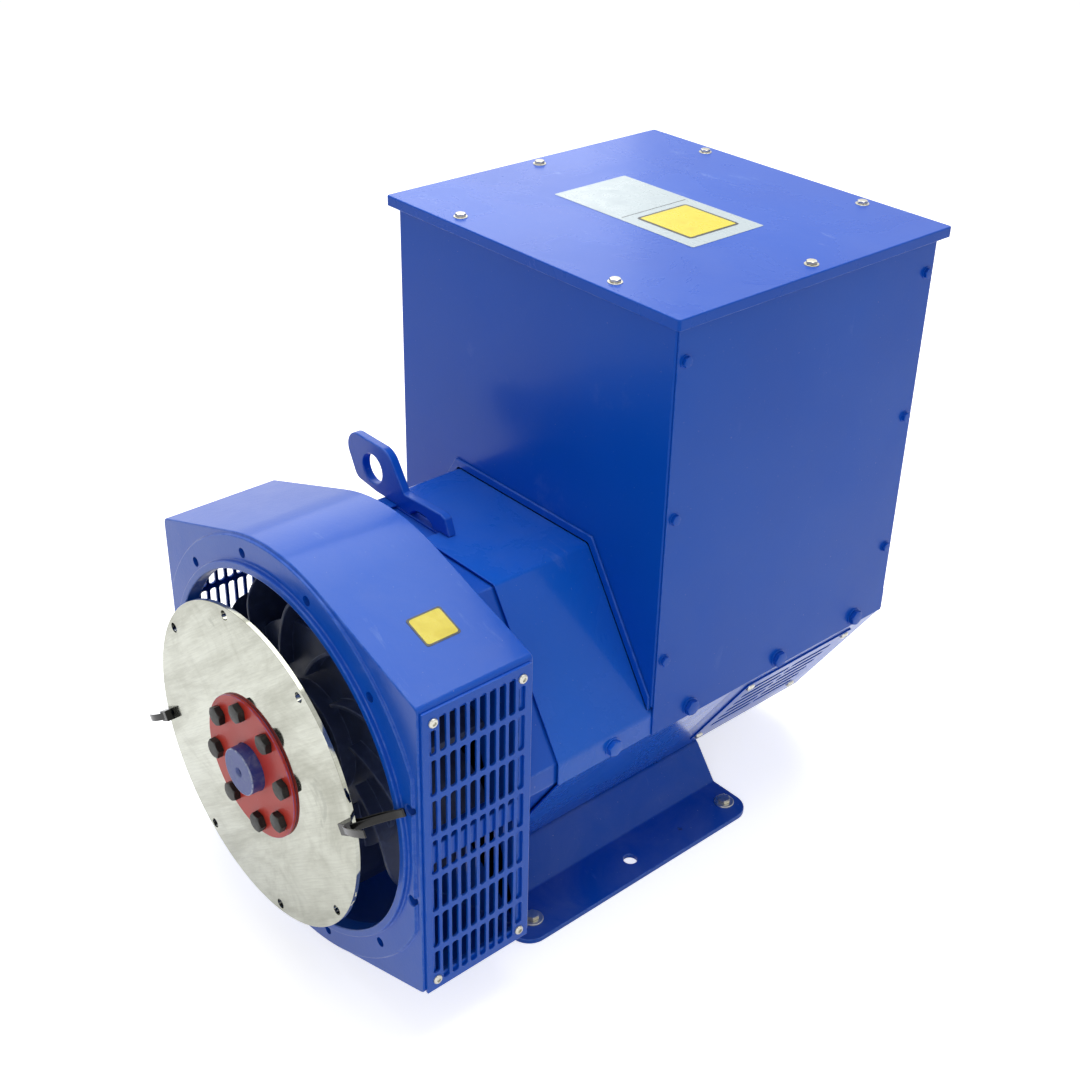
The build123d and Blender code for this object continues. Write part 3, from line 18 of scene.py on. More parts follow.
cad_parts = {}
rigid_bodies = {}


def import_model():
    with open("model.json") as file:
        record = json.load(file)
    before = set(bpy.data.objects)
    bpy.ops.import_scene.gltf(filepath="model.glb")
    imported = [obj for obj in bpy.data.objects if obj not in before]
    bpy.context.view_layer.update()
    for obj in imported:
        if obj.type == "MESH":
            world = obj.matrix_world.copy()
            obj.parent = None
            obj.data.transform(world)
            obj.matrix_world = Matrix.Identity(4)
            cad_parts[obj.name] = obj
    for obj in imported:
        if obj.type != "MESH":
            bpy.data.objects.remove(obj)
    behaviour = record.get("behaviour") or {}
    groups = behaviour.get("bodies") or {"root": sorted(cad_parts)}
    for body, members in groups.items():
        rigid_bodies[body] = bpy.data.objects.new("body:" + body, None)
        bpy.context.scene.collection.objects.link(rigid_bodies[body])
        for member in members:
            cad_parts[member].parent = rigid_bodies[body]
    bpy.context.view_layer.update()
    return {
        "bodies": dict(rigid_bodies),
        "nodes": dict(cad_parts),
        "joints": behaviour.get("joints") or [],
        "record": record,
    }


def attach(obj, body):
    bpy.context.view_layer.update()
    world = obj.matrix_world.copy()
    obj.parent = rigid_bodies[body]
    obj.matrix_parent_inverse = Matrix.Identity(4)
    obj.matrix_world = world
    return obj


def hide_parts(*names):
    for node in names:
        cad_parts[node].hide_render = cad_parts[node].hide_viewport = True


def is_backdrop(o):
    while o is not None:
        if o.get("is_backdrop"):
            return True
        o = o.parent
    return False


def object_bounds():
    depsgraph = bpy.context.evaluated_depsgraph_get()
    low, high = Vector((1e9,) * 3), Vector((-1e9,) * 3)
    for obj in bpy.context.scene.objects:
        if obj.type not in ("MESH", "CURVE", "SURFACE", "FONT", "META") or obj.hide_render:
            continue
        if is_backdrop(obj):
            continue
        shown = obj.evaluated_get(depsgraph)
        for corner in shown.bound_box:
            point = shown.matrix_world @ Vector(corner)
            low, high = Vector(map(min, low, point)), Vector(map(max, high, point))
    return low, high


LOG = logging.getLogger("alternator")
RIM = "rim"
HOLE_RIM = 0.05  # rims shorter than this are left crisp
WELD = 2e-6
FLAT_ANGLE = radians(0.4)
SHARP_ANGLE = radians(32)
SMOOTH_ANGLE = radians(46)
SIDES = (-1, 1)
CORNERS = ((1, 1), (-1, 1), (-1, -1), (1, -1))
BMesh = bmesh.types.BMesh
Socket = bpy.types.NodeSocket
Pair = tuple[float, float]
Triple = tuple[float, float, float]
Colour = Triple
Seat = tuple[Sequence[float], Sequence[float]]


def tone(red: int, green: int, blue: int) -> Colour:
    """Turn a display colour into the linear values that shaders take.

    Args:
        red: Red, 0 to 255.
        green: Green, 0 to 255.
        blue: Blue, 0 to 255.

    Returns:
        The colour in linear light.
    """
    def linear(level: int) -> float:
        """Linear light of one channel."""
        share = level / 255
        return share / 12.92 if share <= 0.04045 else ((share + 0.055) / 1.055) ** 2.4
    return linear(red), linear(green), linear(blue)


class Body(Enum):
    """Moving groups of the machine."""

    FRAME = "alternator"
    ROTOR = "rotor"
    CAGE = "rear_bearing_cage"


class Drive(Enum):
    """Shapes of fastener head."""

    HEX = "hexagon"
    SOCKET = "button head with a socket"
    PAN = "pan head with a cross recess"


# ---------------------------------------------------------------- node trees
class NodeTree:
    """Nodes under construction, of a material, of the world or of a geometry group."""

    def __init__(self, tree: bpy.types.NodeTree) -> None:
        """Take the tree that gets the nodes."""
        self.tree = tree

    def feed(self, socket: Socket, value: object) -> None:
        """Link a socket to another one, or give it a value; a colour is given without its alpha."""
        if isinstance(value, Socket):
            self.tree.links.new(value, socket)
        else:
            socket.default_value = (*value, 1.0) if socket.type == "RGBA" else value

    def node(self, kind: str, inputs: dict, **settings: object) -> bpy.types.Node:
        """Add a node.

        Args:
            kind: Node type.
            inputs: Socket name or number to a value or to the socket that feeds it.
            **settings: Properties of the node.

        Returns:
            The node.
        """
        node = self.tree.nodes.new(kind)
        for name, value in settings.items():
            setattr(node, name, value)
        for name, value in inputs.items():
            self.feed(node.inputs[name], value)
        return node

    def add(self, kind: str, inputs: dict, **settings: object) -> Socket:
        """Add a node and return its first output."""
        return self.node(kind, inputs, **settings).outputs[0]

    def sum(self, operation: str, *values: Socket | float) -> Socket:
        """One step of arithmetic."""
        return self.add("ShaderNodeMath", dict(enumerate(values)), operation=operation)

    def times(self, first: Socket | float, second: Socket | float) -> Socket:
        """Product of two patterns or numbers."""
        return self.sum("MULTIPLY", first, second)

    def minus(self, first: Socket | float, second: Socket | float) -> Socket:
        """Difference of two patterns or numbers."""
        return self.sum("SUBTRACT", first, second)

    def shown_background(self) -> Socket:
        """Pattern that is 1 for rays that show the background: seen, mirrored or through glass."""
        path = self.node("ShaderNodeLightPath", {}).outputs
        seen = path["Is Camera Ray"]
        for name in ("Is Glossy Ray", "Is Transmission Ray"):
            seen = self.sum("MAXIMUM", seen, path[name])
        return seen


class ShaderTree(NodeTree):
    """A material under construction, with a shortcut for each kind of pattern it needs."""

    def __init__(self, name: str) -> None:
        """Start a material with one Principled shader.

        Args:
            name: Name of the material.
        """
        self.material = bpy.data.materials.new(name)
        self.material.use_nodes = True
        super().__init__(self.material.node_tree)
        self.tree.nodes.clear()
        self.surface = self.node("ShaderNodeBsdfPrincipled", {})
        self.node("ShaderNodeOutputMaterial", {"Surface": self.surface.outputs["BSDF"]})
        coords = self.node("ShaderNodeTexCoord", {}).outputs
        self.place, self.facing = coords["Object"], coords["Normal"]

    def shade(self, **values: float | Colour | Socket) -> bpy.types.Material:
        """Feed the shader's sockets, named with underscores for spaces, and return the material."""
        for name, value in values.items():
            self.feed(self.surface.inputs[name.replace("_", " ")], value)
        return self.material

    def stretched(self, scale: Triple, turn: float = 0.0) -> Socket:
        """Object coordinates turned about the shaft by some degrees, then scaled along each axis."""
        turned = self.add("ShaderNodeMapping", {"Vector": self.place, "Rotation": (0.0, radians(turn), 0.0)})
        return self.add("ShaderNodeMapping", {"Vector": turned, "Scale": scale})

    def noise(self, scale: float, detail: float = 3.0, rough: float = 0.5, warp: float = 0.0,
              place: Socket | None = None) -> Socket:
        """Cloudy pattern.

        Args:
            scale: Cells per metre.
            detail: Octaves.
            rough: Weight of the finer octaves.
            warp: Distortion.
            place: Coordinates, if not the plain object ones.

        Returns:
            The pattern, from 0 to 1.
        """
        return self.node("ShaderNodeTexNoise", {
            "Vector": place or self.place, "Scale": scale, "Detail": detail, "Roughness": rough,
            "Distortion": warp}).outputs["Fac"]

    def spread(self, source: Socket, low: float, high: float, start: float = 0.0, end: float = 1.0) -> Socket:
        """Stretch a pattern so that low becomes start and high becomes end, and clamp it."""
        return self.node("ShaderNodeMapRange", {
            "Value": source, "From Min": low, "From Max": high, "To Min": start, "To Max": end},
                         interpolation_type="SMOOTHSTEP").outputs["Result"]

    def around(self, source: Socket, middle: float, less: float, more: float, high: float = 0.8) -> Socket:
        """Value that wanders with a pattern from a little less to a little more than its middle."""
        return self.spread(source, 0.3, high, middle - less, middle + more)

    def mix(self, share: Socket, first: Socket | Colour, second: Socket | Colour) -> Socket:
        """Blend two colours by a pattern."""
        node = self.node("ShaderNodeMix", {"Factor": share}, data_type="RGBA")
        sides = [socket for socket in node.inputs if socket.type == "RGBA"]
        for socket, value in zip(sides, (first, second)):
            self.feed(socket, value)
        return next(socket for socket in node.outputs if socket.type == "RGBA")

    def component(self, source: Socket, axis: str) -> Socket:
        """One component of a vector pattern."""
        return self.node("ShaderNodeSeparateXYZ", {"Vector": source}).outputs[axis]

    def edges(self) -> Socket:
        """Ragged pattern that follows the rounded edges of a mesh and is 0 elsewhere."""
        rim = self.node("ShaderNodeAttribute", {}, attribute_name=RIM).outputs["Fac"]
        return self.times(rim, self.spread(self.noise(70.0, 5.0, 0.7), 0.35, 0.62))

    def bump(self, height: Socket, depth: float, below: Socket | None = None) -> Socket:
        """Relief of a real depth in metres, laid over another relief if one is given."""
        under = {"Normal": below} if below else {}
        return self.add("ShaderNodeBump", {"Strength": 1.0, "Distance": depth, "Height": height, **under})



class Finish:
    """Something that can be put on a surface."""

    name: str

    def material(self) -> bpy.types.Material:
        """The material, made on first use."""
        made = bpy.data.materials.get(self.name)
        return made if made else self.make()

    def make(self) -> bpy.types.Material:
        """Build the material."""
        raise NotImplementedError


DUST_FILM, DUST_SPECK = tone(150, 160, 186), tone(176, 184, 205)
# lighter blue for rounded edges: partly worn paint, partly a painted edge highlight
RUBBED_PAINT, WORN_EDGE_AND_HIGHLIGHT = tone(110, 140, 210), tone(98, 134, 214)
STAIN, RUST, DULL_STEEL = tone(126, 128, 118), tone(96, 60, 44), tone(96, 94, 90)
# the pale colour of the nose's rounded edges stands for rubbed paint and a painted rim highlight
NOSE_PALE, NOSE_EDGE_AND_HIGHLIGHT = tone(92, 104, 150), tone(176, 184, 204)


@dataclass(frozen=True)
class Enamel(Finish):
    """Sprayed enamel, with orange peel, slow tone drift, a film of dust, scuffs, and lighter rounded edges
    that are partly wear and partly a painted edge highlight.
    """

    name: str
    colour: Colour
    pale: Colour
    roughness: float = 0.32
    gloss: float = 0.25
    peel: float = 0.00004
    peel_scale: float = 260.0
    skin: float = 0.0
    skin_scale: float = 120.0
    dust: float = 0.1
    scuffs: float = 0.3
    # strength of the lighter rounded edges, partly wear and partly a painted edge highlight
    edge_wear_and_highlight: float = 0.3

    def make(self) -> bpy.types.Material:
        """Build the enamel."""
        tree = ShaderTree(self.name)
        marks = tree.noise(9.0, 6.0, 0.62, 0.5)
        base = tree.mix(tree.spread(tree.noise(4.0, 2.0), 0.3, 0.7), self.colour, self.pale)
        upward = tree.spread(tree.component(tree.facing, "Z"), 0.1, 1.0)
        settled = tree.times(upward, tree.spread(marks, 0.3, 0.8, 0.0, self.dust))
        base = tree.mix(settled, base, DUST_FILM)
        specks = tree.spread(tree.noise(420.0, 2.0, 0.5), 0.73, 0.79, 0.0, self.dust * 3.0)
        base = tree.mix(specks, base, DUST_SPECK)
        rubs = tree.noise(9.0, 8.0, 0.72, 0.4, tree.stretched((1.0, 3.0, 1.0), 30.0))
        rubbed = tree.times(tree.spread(rubs, 0.6, 0.72, 0.0, self.scuffs),
                            tree.spread(upward, 0.0, 1.0, 0.35, 1.0))
        base = tree.mix(rubbed, base, RUBBED_PAINT)
        # rounded edges turned lighter blue: partly worn paint, partly a painted edge highlight
        base = tree.mix(tree.times(tree.edges(), self.edge_wear_and_highlight), base, WORN_EDGE_AND_HIGHLIGHT)
        relief = tree.bump(tree.noise(self.peel_scale, 2.0, 0.4), self.peel)
        relief = tree.bump(tree.noise(34.0, 2.0, 0.4), self.peel * 2.5, relief)
        if self.skin:
            relief = tree.bump(tree.noise(self.skin_scale, 6.0, 0.65, 0.4), self.skin, relief)
        return tree.shade(Base_Color=base, Roughness=tree.around(marks, self.roughness, 0.04, 0.08),
                          Normal=relief, Coat_Weight=self.gloss, Coat_Roughness=0.13, Coat_IOR=1.35,
                          Specular_IOR_Level=0.2, Specular_Tint=(0.5, 0.72, 1.0))


@dataclass(frozen=True)
class PlatedSteel(Finish):
    """Zinc plated or bare steel with rolling marks, dull patches and smears."""

    name: str
    colour: Colour
    dull: Colour
    roughness: float = 0.3
    metal: float = 1.0
    smear: float = 0.5
    grain: Triple = (60.0, 60.0, 60.0)
    slant: float = 0.0
    haze: float = 0.22
    relief: float = 0.000006

    def make(self) -> bpy.types.Material:
        """Build the plated steel."""
        tree = ShaderTree(self.name)
        cloud = tree.noise(11.0, 6.0, 0.62, 1.2)
        rolled = tree.noise(6.0, 4.0, 0.7, 0.2, tree.stretched(self.grain, self.slant))
        wiped = tree.noise(3.0, 5.0, 0.66, 0.3, tree.stretched((1.2, 1.2, 7.0), self.slant))
        base = tree.mix(tree.spread(cloud, 0.4, 0.72, 0.0, self.smear), self.colour, self.dull)
        base = tree.mix(tree.spread(wiped, 0.42, 0.66, 0.0, self.smear), base, self.dull)
        stains = tree.spread(tree.noise(13.0, 4.0, 0.6, 0.8), 0.62, 0.68, 0.0, 0.4)
        base = tree.mix(stains, base, STAIN)
        base = tree.mix(tree.spread(rolled, 0.35, 0.75, 0.0, 0.25), base, self.dull)
        relief = tree.bump(tree.noise(12.0, 2.0), self.relief * 5.0, tree.bump(rolled, self.relief))
        return tree.shade(Base_Color=base, Metallic=self.metal, Normal=relief,
                          Roughness=tree.around(wiped, self.roughness, 0.08, self.haze, high=0.75))


@dataclass(frozen=True)
class PaintedNose(Finish):
    """Turned steel shaft whose nose has a coat of dull paint up to a line across the shaft, its rounded edges
    pale for rubbed paint and a painted rim highlight.
    """

    name: str
    paint: Colour
    steel: Colour
    line: float

    def make(self) -> bpy.types.Material:
        """Build the two-part finish."""
        tree = ShaderTree(self.name)
        behind = tree.spread(tree.component(tree.place, "Y"), self.line, self.line + 0.0006)
        marks = tree.noise(90.0, 6.0, 0.65, 0.8)
        turned = tree.noise(5.0, 3.0, 0.6, 0.0, tree.stretched((4.0, 400.0, 4.0)))
        coat = tree.mix(tree.spread(marks, 0.4, 0.7), self.paint, NOSE_PALE)
        # pale rounded edges: rubbed paint and a painted rim highlight
        coat = tree.mix(tree.times(tree.edges(), 0.8), coat, NOSE_EDGE_AND_HIGHLIGHT)
        bare = tree.mix(tree.spread(turned, 0.3, 0.7), self.steel, DULL_STEEL)
        return tree.shade(Base_Color=tree.mix(behind, coat, bare), Normal=tree.bump(turned, 0.00005),
                          Metallic=tree.spread(behind, 0.0, 1.0, 0.1, 1.0),
                          Roughness=tree.spread(marks, 0.3, 0.75, 0.34, 0.56))


@dataclass(frozen=True)
class DarkIron(Finish):
    """Black oxide or cast metal: dark, with a fine grain and brighter rubbed edges."""

    name: str
    colour: Colour
    rubbed: Colour
    roughness: float = 0.5
    metal: float = 0.4
    grain: float = 0.00008
    grain_scale: float = 700.0

    def make(self) -> bpy.types.Material:
        """Build the dark metal."""
        tree = ShaderTree(self.name)
        marks = tree.noise(60.0, 5.0, 0.6, 0.6)
        base = tree.mix(tree.spread(marks, 0.45, 0.8, 0.0, 0.5), self.colour, self.rubbed)
        base = tree.mix(tree.times(tree.edges(), 0.7), base, self.rubbed)
        return tree.shade(Base_Color=base, Metallic=self.metal,
                          Roughness=tree.around(marks, self.roughness, 0.1, 0.15),
                          Normal=tree.bump(tree.noise(self.grain_scale, 4.0, 0.6), self.grain))


@dataclass(frozen=True)
class Laminated(Finish):
    """Stack of thin laminations along the shaft."""

    name: str
    colour: Colour
    seam: Colour
    pitch: float = 0.0016

    def make(self) -> bpy.types.Material:
        """Build the lamination stripes."""
        tree = ShaderTree(self.name)
        bands = tree.node("ShaderNodeTexWave", {"Vector": tree.place, "Scale": 0.314 / self.pitch},
                          bands_direction="Y").outputs["Fac"]
        lines = tree.spread(bands, 0.1, 0.5)
        rust = tree.spread(tree.noise(30.0, 5.0, 0.6, 0.7), 0.5, 0.8, 0.0, 0.5)
        stack = tree.mix(lines, self.seam, tree.mix(rust, self.colour, RUST))
        return tree.shade(Base_Color=stack, Metallic=0.6, Roughness=0.5, Normal=tree.bump(lines, 0.0001))


@dataclass(frozen=True)
class Varnished(Finish):
    """Wound copper under a coat of insulating varnish."""

    name: str
    colour: Colour
    shade: Colour
    lacing: float = 900.0

    def make(self) -> bpy.types.Material:
        """Build the varnished copper."""
        tree = ShaderTree(self.name)
        strands = tree.noise(self.lacing, 2.0, 0.5, 0.3, tree.stretched((1.0, 0.12, 1.0)))
        pools = tree.spread(tree.noise(48.0, 4.0, 0.6, 0.5), 0.35, 0.7)
        return tree.shade(Base_Color=tree.mix(pools, self.colour, self.shade), Metallic=0.35, Coat_Weight=0.8,
                          Coat_Roughness=0.12, Roughness=tree.spread(strands, 0.3, 0.7, 0.25, 0.5),
                          Normal=tree.bump(strands, 0.00035))


@dataclass(frozen=True)
class Moulded(Finish):
    """Moulded plastic, rubber or printed film: an even colour with a fine tooth and faint handling marks."""

    name: str
    colour: Colour
    marked: Colour
    roughness: float = 0.5
    tooth: float = 0.00003

    def make(self) -> bpy.types.Material:
        """Build the moulding."""
        tree = ShaderTree(self.name)
        marks = tree.noise(55.0, 5.0, 0.6, 0.5)
        base = tree.mix(tree.spread(marks, 0.45, 0.8), self.colour, self.marked)
        return tree.shade(Base_Color=base, Roughness=tree.around(marks, self.roughness, 0.08, 0.12),
                          Normal=tree.bump(tree.noise(900.0, 2.0), self.tooth))


PANEL_BLUE = Enamel("panel_enamel", tone(2, 76, 184), tone(4, 81, 190), gloss=0.14)
LID_BLUE = Enamel("lid_enamel", tone(0, 74, 184), tone(1, 80, 192), 0.28, 0.13, dust=0.09, scuffs=0.5,
                  edge_wear_and_highlight=0.9)
FRAME_BLUE = Enamel("frame_enamel", tone(6, 90, 206), tone(12, 96, 208), 0.27, 0.5, peel=0.00016,
                    peel_scale=230.0)
CAST_BLUE = Enamel("casting_enamel", tone(3, 80, 192), tone(8, 85, 196), gloss=0.4, peel=0.00008, skin=0.0001)
BRACKET_BLUE = Enamel("bracket_enamel", tone(4, 78, 186), tone(9, 82, 188), skin=0.0002, skin_scale=160.0)
FOOT_BLUE = Enamel("foot_enamel", tone(3, 74, 176), tone(8, 79, 180), 0.38, dust=0.22, edge_wear_and_highlight=0.6)
PLATE_RED = Enamel("plate_enamel", tone(182, 46, 34), tone(190, 60, 46), 0.42, 0.15, dust=0.2, edge_wear_and_highlight=0.5)
ZINC = PlatedSteel("bright_zinc", tone(206, 204, 194), tone(168, 164, 148), roughness=0.32)
DISC = PlatedSteel("rolled_zinc", tone(184, 186, 175), tone(128, 128, 114), roughness=0.1, smear=0.55,
                   grain=(4.0, 4.0, 90.0), slant=38.0, haze=0.08, relief=0.000002)
BEARING = PlatedSteel("ground_steel", tone(196, 198, 202), tone(160, 162, 168), roughness=0.18, smear=0.2)
SHAFT = PlatedSteel("turned_steel", tone(150, 150, 150), tone(120, 116, 110), 0.34, grain=(4.0, 400.0, 4.0))
NOSE = PaintedNose("painted_nose", tone(44, 64, 140), tone(150, 150, 150), -0.0372)
BLACK = DarkIron("black_oxide", tone(24, 24, 24), tone(84, 82, 76))
FAN_DARK = DarkIron("fan_casting", tone(56, 68, 106), tone(92, 108, 150), 0.42, metal=0.0, grain=0.00015)
ALLOY = DarkIron("cast_alloy", tone(150, 152, 156), tone(190, 192, 196), roughness=0.4, metal=0.9)
CORE = Laminated("core_laminations", tone(88, 86, 84), tone(30, 28, 27))
COPPER = Varnished("varnished_copper", tone(128, 52, 30), tone(84, 28, 18))
BRASS = PlatedSteel("link_brass_metal", tone(190, 152, 84), tone(150, 116, 62), roughness=0.28)
RUBBER = Moulded("black_rubber", tone(20, 20, 21), tone(38, 38, 38), roughness=0.62)
BOARD = Moulded("board_laminate", tone(120, 42, 30), tone(142, 62, 44), roughness=0.4)
POTTING = Moulded("potting_resin", tone(18, 18, 22), tone(34, 34, 38), roughness=0.3)
CAGE = Moulded("cage_polymer_tone", tone(196, 178, 140), tone(176, 156, 120), roughness=0.45)
NYLON = Moulded("black_nylon", tone(16, 16, 17), tone(30, 30, 31), roughness=0.16)
FILM_PALE = Moulded("pale_film", tone(178, 191, 196), tone(173, 185, 191), roughness=0.3)
FILM_YELLOW = Moulded("yellow_film", tone(221, 203, 9), tone(209, 187, 13), roughness=0.3)
FILM_DARK = Moulded("dark_film", tone(26, 34, 40), tone(44, 52, 58), roughness=0.32)


# ---------------------------------------------------------------- mesh work
def linked(name: str, data: bpy.types.ID) -> bpy.types.Object:
    """New object of the scene that shows some data."""
    thing = bpy.data.objects.new(name, data)
    bpy.context.scene.collection.objects.link(thing)
    return thing


def plain(name: str, mesh: BMesh) -> bpy.types.Mesh:
    """Plain mesh data from a mesh under work, which is used up."""
    data = bpy.data.meshes.new(name)
    mesh.to_mesh(data)
    mesh.free()
    return data


def merge_flats(mesh: BMesh) -> None:
    """Make the flat faces of a mesh whole."""
    bmesh.ops.dissolve_limit(mesh, angle_limit=FLAT_ANGLE, verts=mesh.verts, edges=mesh.edges)


def evaluated(thing: bpy.types.Object) -> bpy.types.Mesh:
    """Mesh of an object with its modifiers carried out."""
    graph = bpy.context.evaluated_depsgraph_get()
    return bpy.data.meshes.new_from_object(thing.evaluated_get(graph))


class Shop:
    """Bench where meshes are finished, placed on their body and reported."""

    def __init__(self, frame: dict) -> None:
        """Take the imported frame.
        """
        self.nodes = frame["nodes"]
        groups = frame["record"]["behaviour"]["bodies"]
        self.body_of = {node: Body(body) for body, nodes in groups.items() for node in nodes}
        self.slot_of = {row["node"]: row["material_slot"] for row in frame["record"]["subparts"]}

    def copy(self, node: str) -> BMesh:
        """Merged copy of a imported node, with its flat faces made whole.

        Args:
            node: Name of the node.

        Returns:
            A new mesh to work on.
        """
        mesh = bmesh.new()
        mesh.from_mesh(self.nodes[node].data)
        bmesh.ops.remove_doubles(mesh, verts=mesh.verts, dist=WELD)
        merge_flats(mesh)
        return mesh

    def settle(self, thing: bpy.types.Object, edge: float, segments: int) -> None:
        """Round sharp edges, smooth the rest and keep the outcome as a plain mesh.

        Args:
            thing: Object to finish.
            edge: Width of the rounding, 0 for none.
            segments: Steps across the rounding.
        """
        for face in thing.data.polygons:
            face.use_smooth = True
        thing.data.set_sharp_from_angle(angle=SMOOTH_ANGLE)
        thing.data.materials.clear()
        if edge > 0:
            self.weigh(thing.data)
            for _ in range(2):
                thing.data.materials.append(None)
            bevel = thing.modifiers.new("edge", "BEVEL")
            bevel.width = edge
            bevel.segments = segments
            bevel.limit_method = "WEIGHT"
            bevel.use_clamp_overlap = False
            bevel.miter_outer = "MITER_ARC"
            bevel.material = 1
        normals = thing.modifiers.new("flat_faces", "WEIGHTED_NORMAL")
        normals.keep_sharp = True
        made = evaluated(thing)
        thing.modifiers.clear()
        thing.data = made
        made.name = thing.name
        rim = made.attributes.new(RIM, "FLOAT", "FACE")
        rim.data.foreach_set("value", [float(face.material_index) for face in made.polygons])
        made.polygons.foreach_set("material_index", [0] * len(made.polygons))

    @staticmethod
    def weigh(data: bpy.types.Mesh) -> None:
        """Mark the sharp edges to round, and leave the rims of small holes crisp."""
        mesh = bmesh.new()
        mesh.from_mesh(data)
        weight = mesh.edges.layers.float.new("bevel_weight_edge")
        sharp = {line for line in mesh.edges
                 if len(line.link_faces) == 2 and line.calc_face_angle(0.0) > SHARP_ANGLE}
        while sharp:
            chain, open_ends = set(), [sharp.pop()]
            while open_ends:
                line = open_ends.pop()
                chain.add(line)
                near = {other for vert in line.verts for other in vert.link_edges if other in sharp}
                sharp -= near
                open_ends.extend(near)
            crisp = sum(line.calc_length() for line in chain) < HOLE_RIM
            for line in chain:
                line[weight] = 0.0 if crisp else 1.0
        mesh.to_mesh(data)
        mesh.free()

    def piece(self, name: str, mesh: BMesh, finish: Finish, body: Body = Body.FRAME, edge: float = 0.0,
              segments: int = 2, replaces: Sequence[str] = (), slot: str | None = None) -> bpy.types.Object:
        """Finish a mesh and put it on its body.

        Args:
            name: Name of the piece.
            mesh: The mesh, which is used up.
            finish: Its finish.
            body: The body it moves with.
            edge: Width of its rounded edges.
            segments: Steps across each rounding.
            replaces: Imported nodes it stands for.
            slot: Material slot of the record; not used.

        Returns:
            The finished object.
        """
        thing = linked(name, plain(name, mesh))
        self.settle(thing, edge, segments)
        return self.issue(thing, finish, body, replaces, slot)

    def issue(self, thing: bpy.types.Object, finish: Finish, body: Body, replaces: Sequence[str] = (),
              slot: str | None = None) -> bpy.types.Object:
        """Paint a finished object, let it ride and report it."""
        thing.data.materials.clear()
        thing.data.materials.append(finish.material())
        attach(thing, body.value)
        if replaces:
            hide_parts(*replaces)
            slot = slot or self.slot_of.get(replaces[0])
        LOG.info("%s on %s: %d faces", thing.name, body.value, len(thing.data.polygons))
        return thing

    def dress(self, node: str, finish: Finish, edge: float, segments: int = 2,
              shape: Callable[[BMesh], None] | None = None) -> bpy.types.Object:
        """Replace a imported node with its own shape, softened and painted.

        Args:
            node: Name of the node.
            finish: Its finish.
            edge: Width of its rounded edges.
            segments: Steps across each rounding.
            shape: Further work on the mesh before its edges are rounded.

        Returns:
            The finished object.
        """
        mesh = self.copy(node)
        if shape:
            shape(mesh)
        return self.piece(f"{node}_dressed", mesh, finish, self.body_of[node], edge, segments, (node,))

    def dress_each(self, finishes: dict[str, Finish], edge: float, segments: int = 2) -> None:
        """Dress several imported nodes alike, each in its own finish."""
        for node, finish in finishes.items():
            self.dress(node, finish, edge, segments)


def bridge(mesh: BMesh, one: Sequence[bmesh.types.BMVert], two: Sequence[bmesh.types.BMVert]) -> None:
    """Join two rings of corners with faces; either ring may be a single corner.

    Args:
        mesh: Mesh that gets the faces.
        one: First ring.
        two: Second ring.
    """
    steps = max(len(one), len(two))
    for k in range(steps):
        after = (k + 1) % steps
        corners = (one[k % len(one)], one[after % len(one)], two[after % len(two)], two[k % len(two)])
        mesh.faces.new(list(dict.fromkeys(corners)))


def lathe(mesh: BMesh, profile: Sequence[Pair], steps: int,
          radius_at: Callable[[float, int], Pair] | None = None) -> None:
    """Add a turned, closed shell about Z.

    Args:
        mesh: Mesh that gets the shell.
        profile: Radius and height of each ring, from the bottom centre outwards and up.
        steps: Corners round each ring.
        radius_at: For a ring that isn't round, its radius and height at an angle and ring number.
    """
    rings = []
    for number, (radius, height) in enumerate(profile):
        if radius < 1e-7:
            rings.append([mesh.verts.new((0, 0, height))])
            continue
        ring = []
        for k in range(steps):
            angle = 2 * pi * k / steps
            r, z = radius_at(angle, number) if radius_at else (radius, height)
            ring.append(mesh.verts.new((r * cos(angle), r * sin(angle), z)))
        rings.append(ring)
    for low, high in zip(rings, rings[1:]):
        bridge(mesh, low, high)


def placed(mesh: BMesh, matrix: Matrix) -> BMesh:
    """Move a mesh by a matrix and hand it back."""
    bmesh.ops.transform(mesh, matrix=matrix, verts=mesh.verts)
    return mesh


def frame_at(origin: Sequence[float], x_dir: Sequence[float], z_dir: Sequence[float]) -> Matrix:
    """Matrix of a local frame from its origin, its X and its Z direction."""
    z_axis = Vector(z_dir).normalized()
    x_axis = (Vector(x_dir) - z_axis * Vector(x_dir).dot(z_axis)).normalized()
    y_axis = z_axis.cross(x_axis)
    return Matrix.Translation(Vector(origin)) @ Matrix((x_axis, y_axis, z_axis)).transposed().to_4x4()


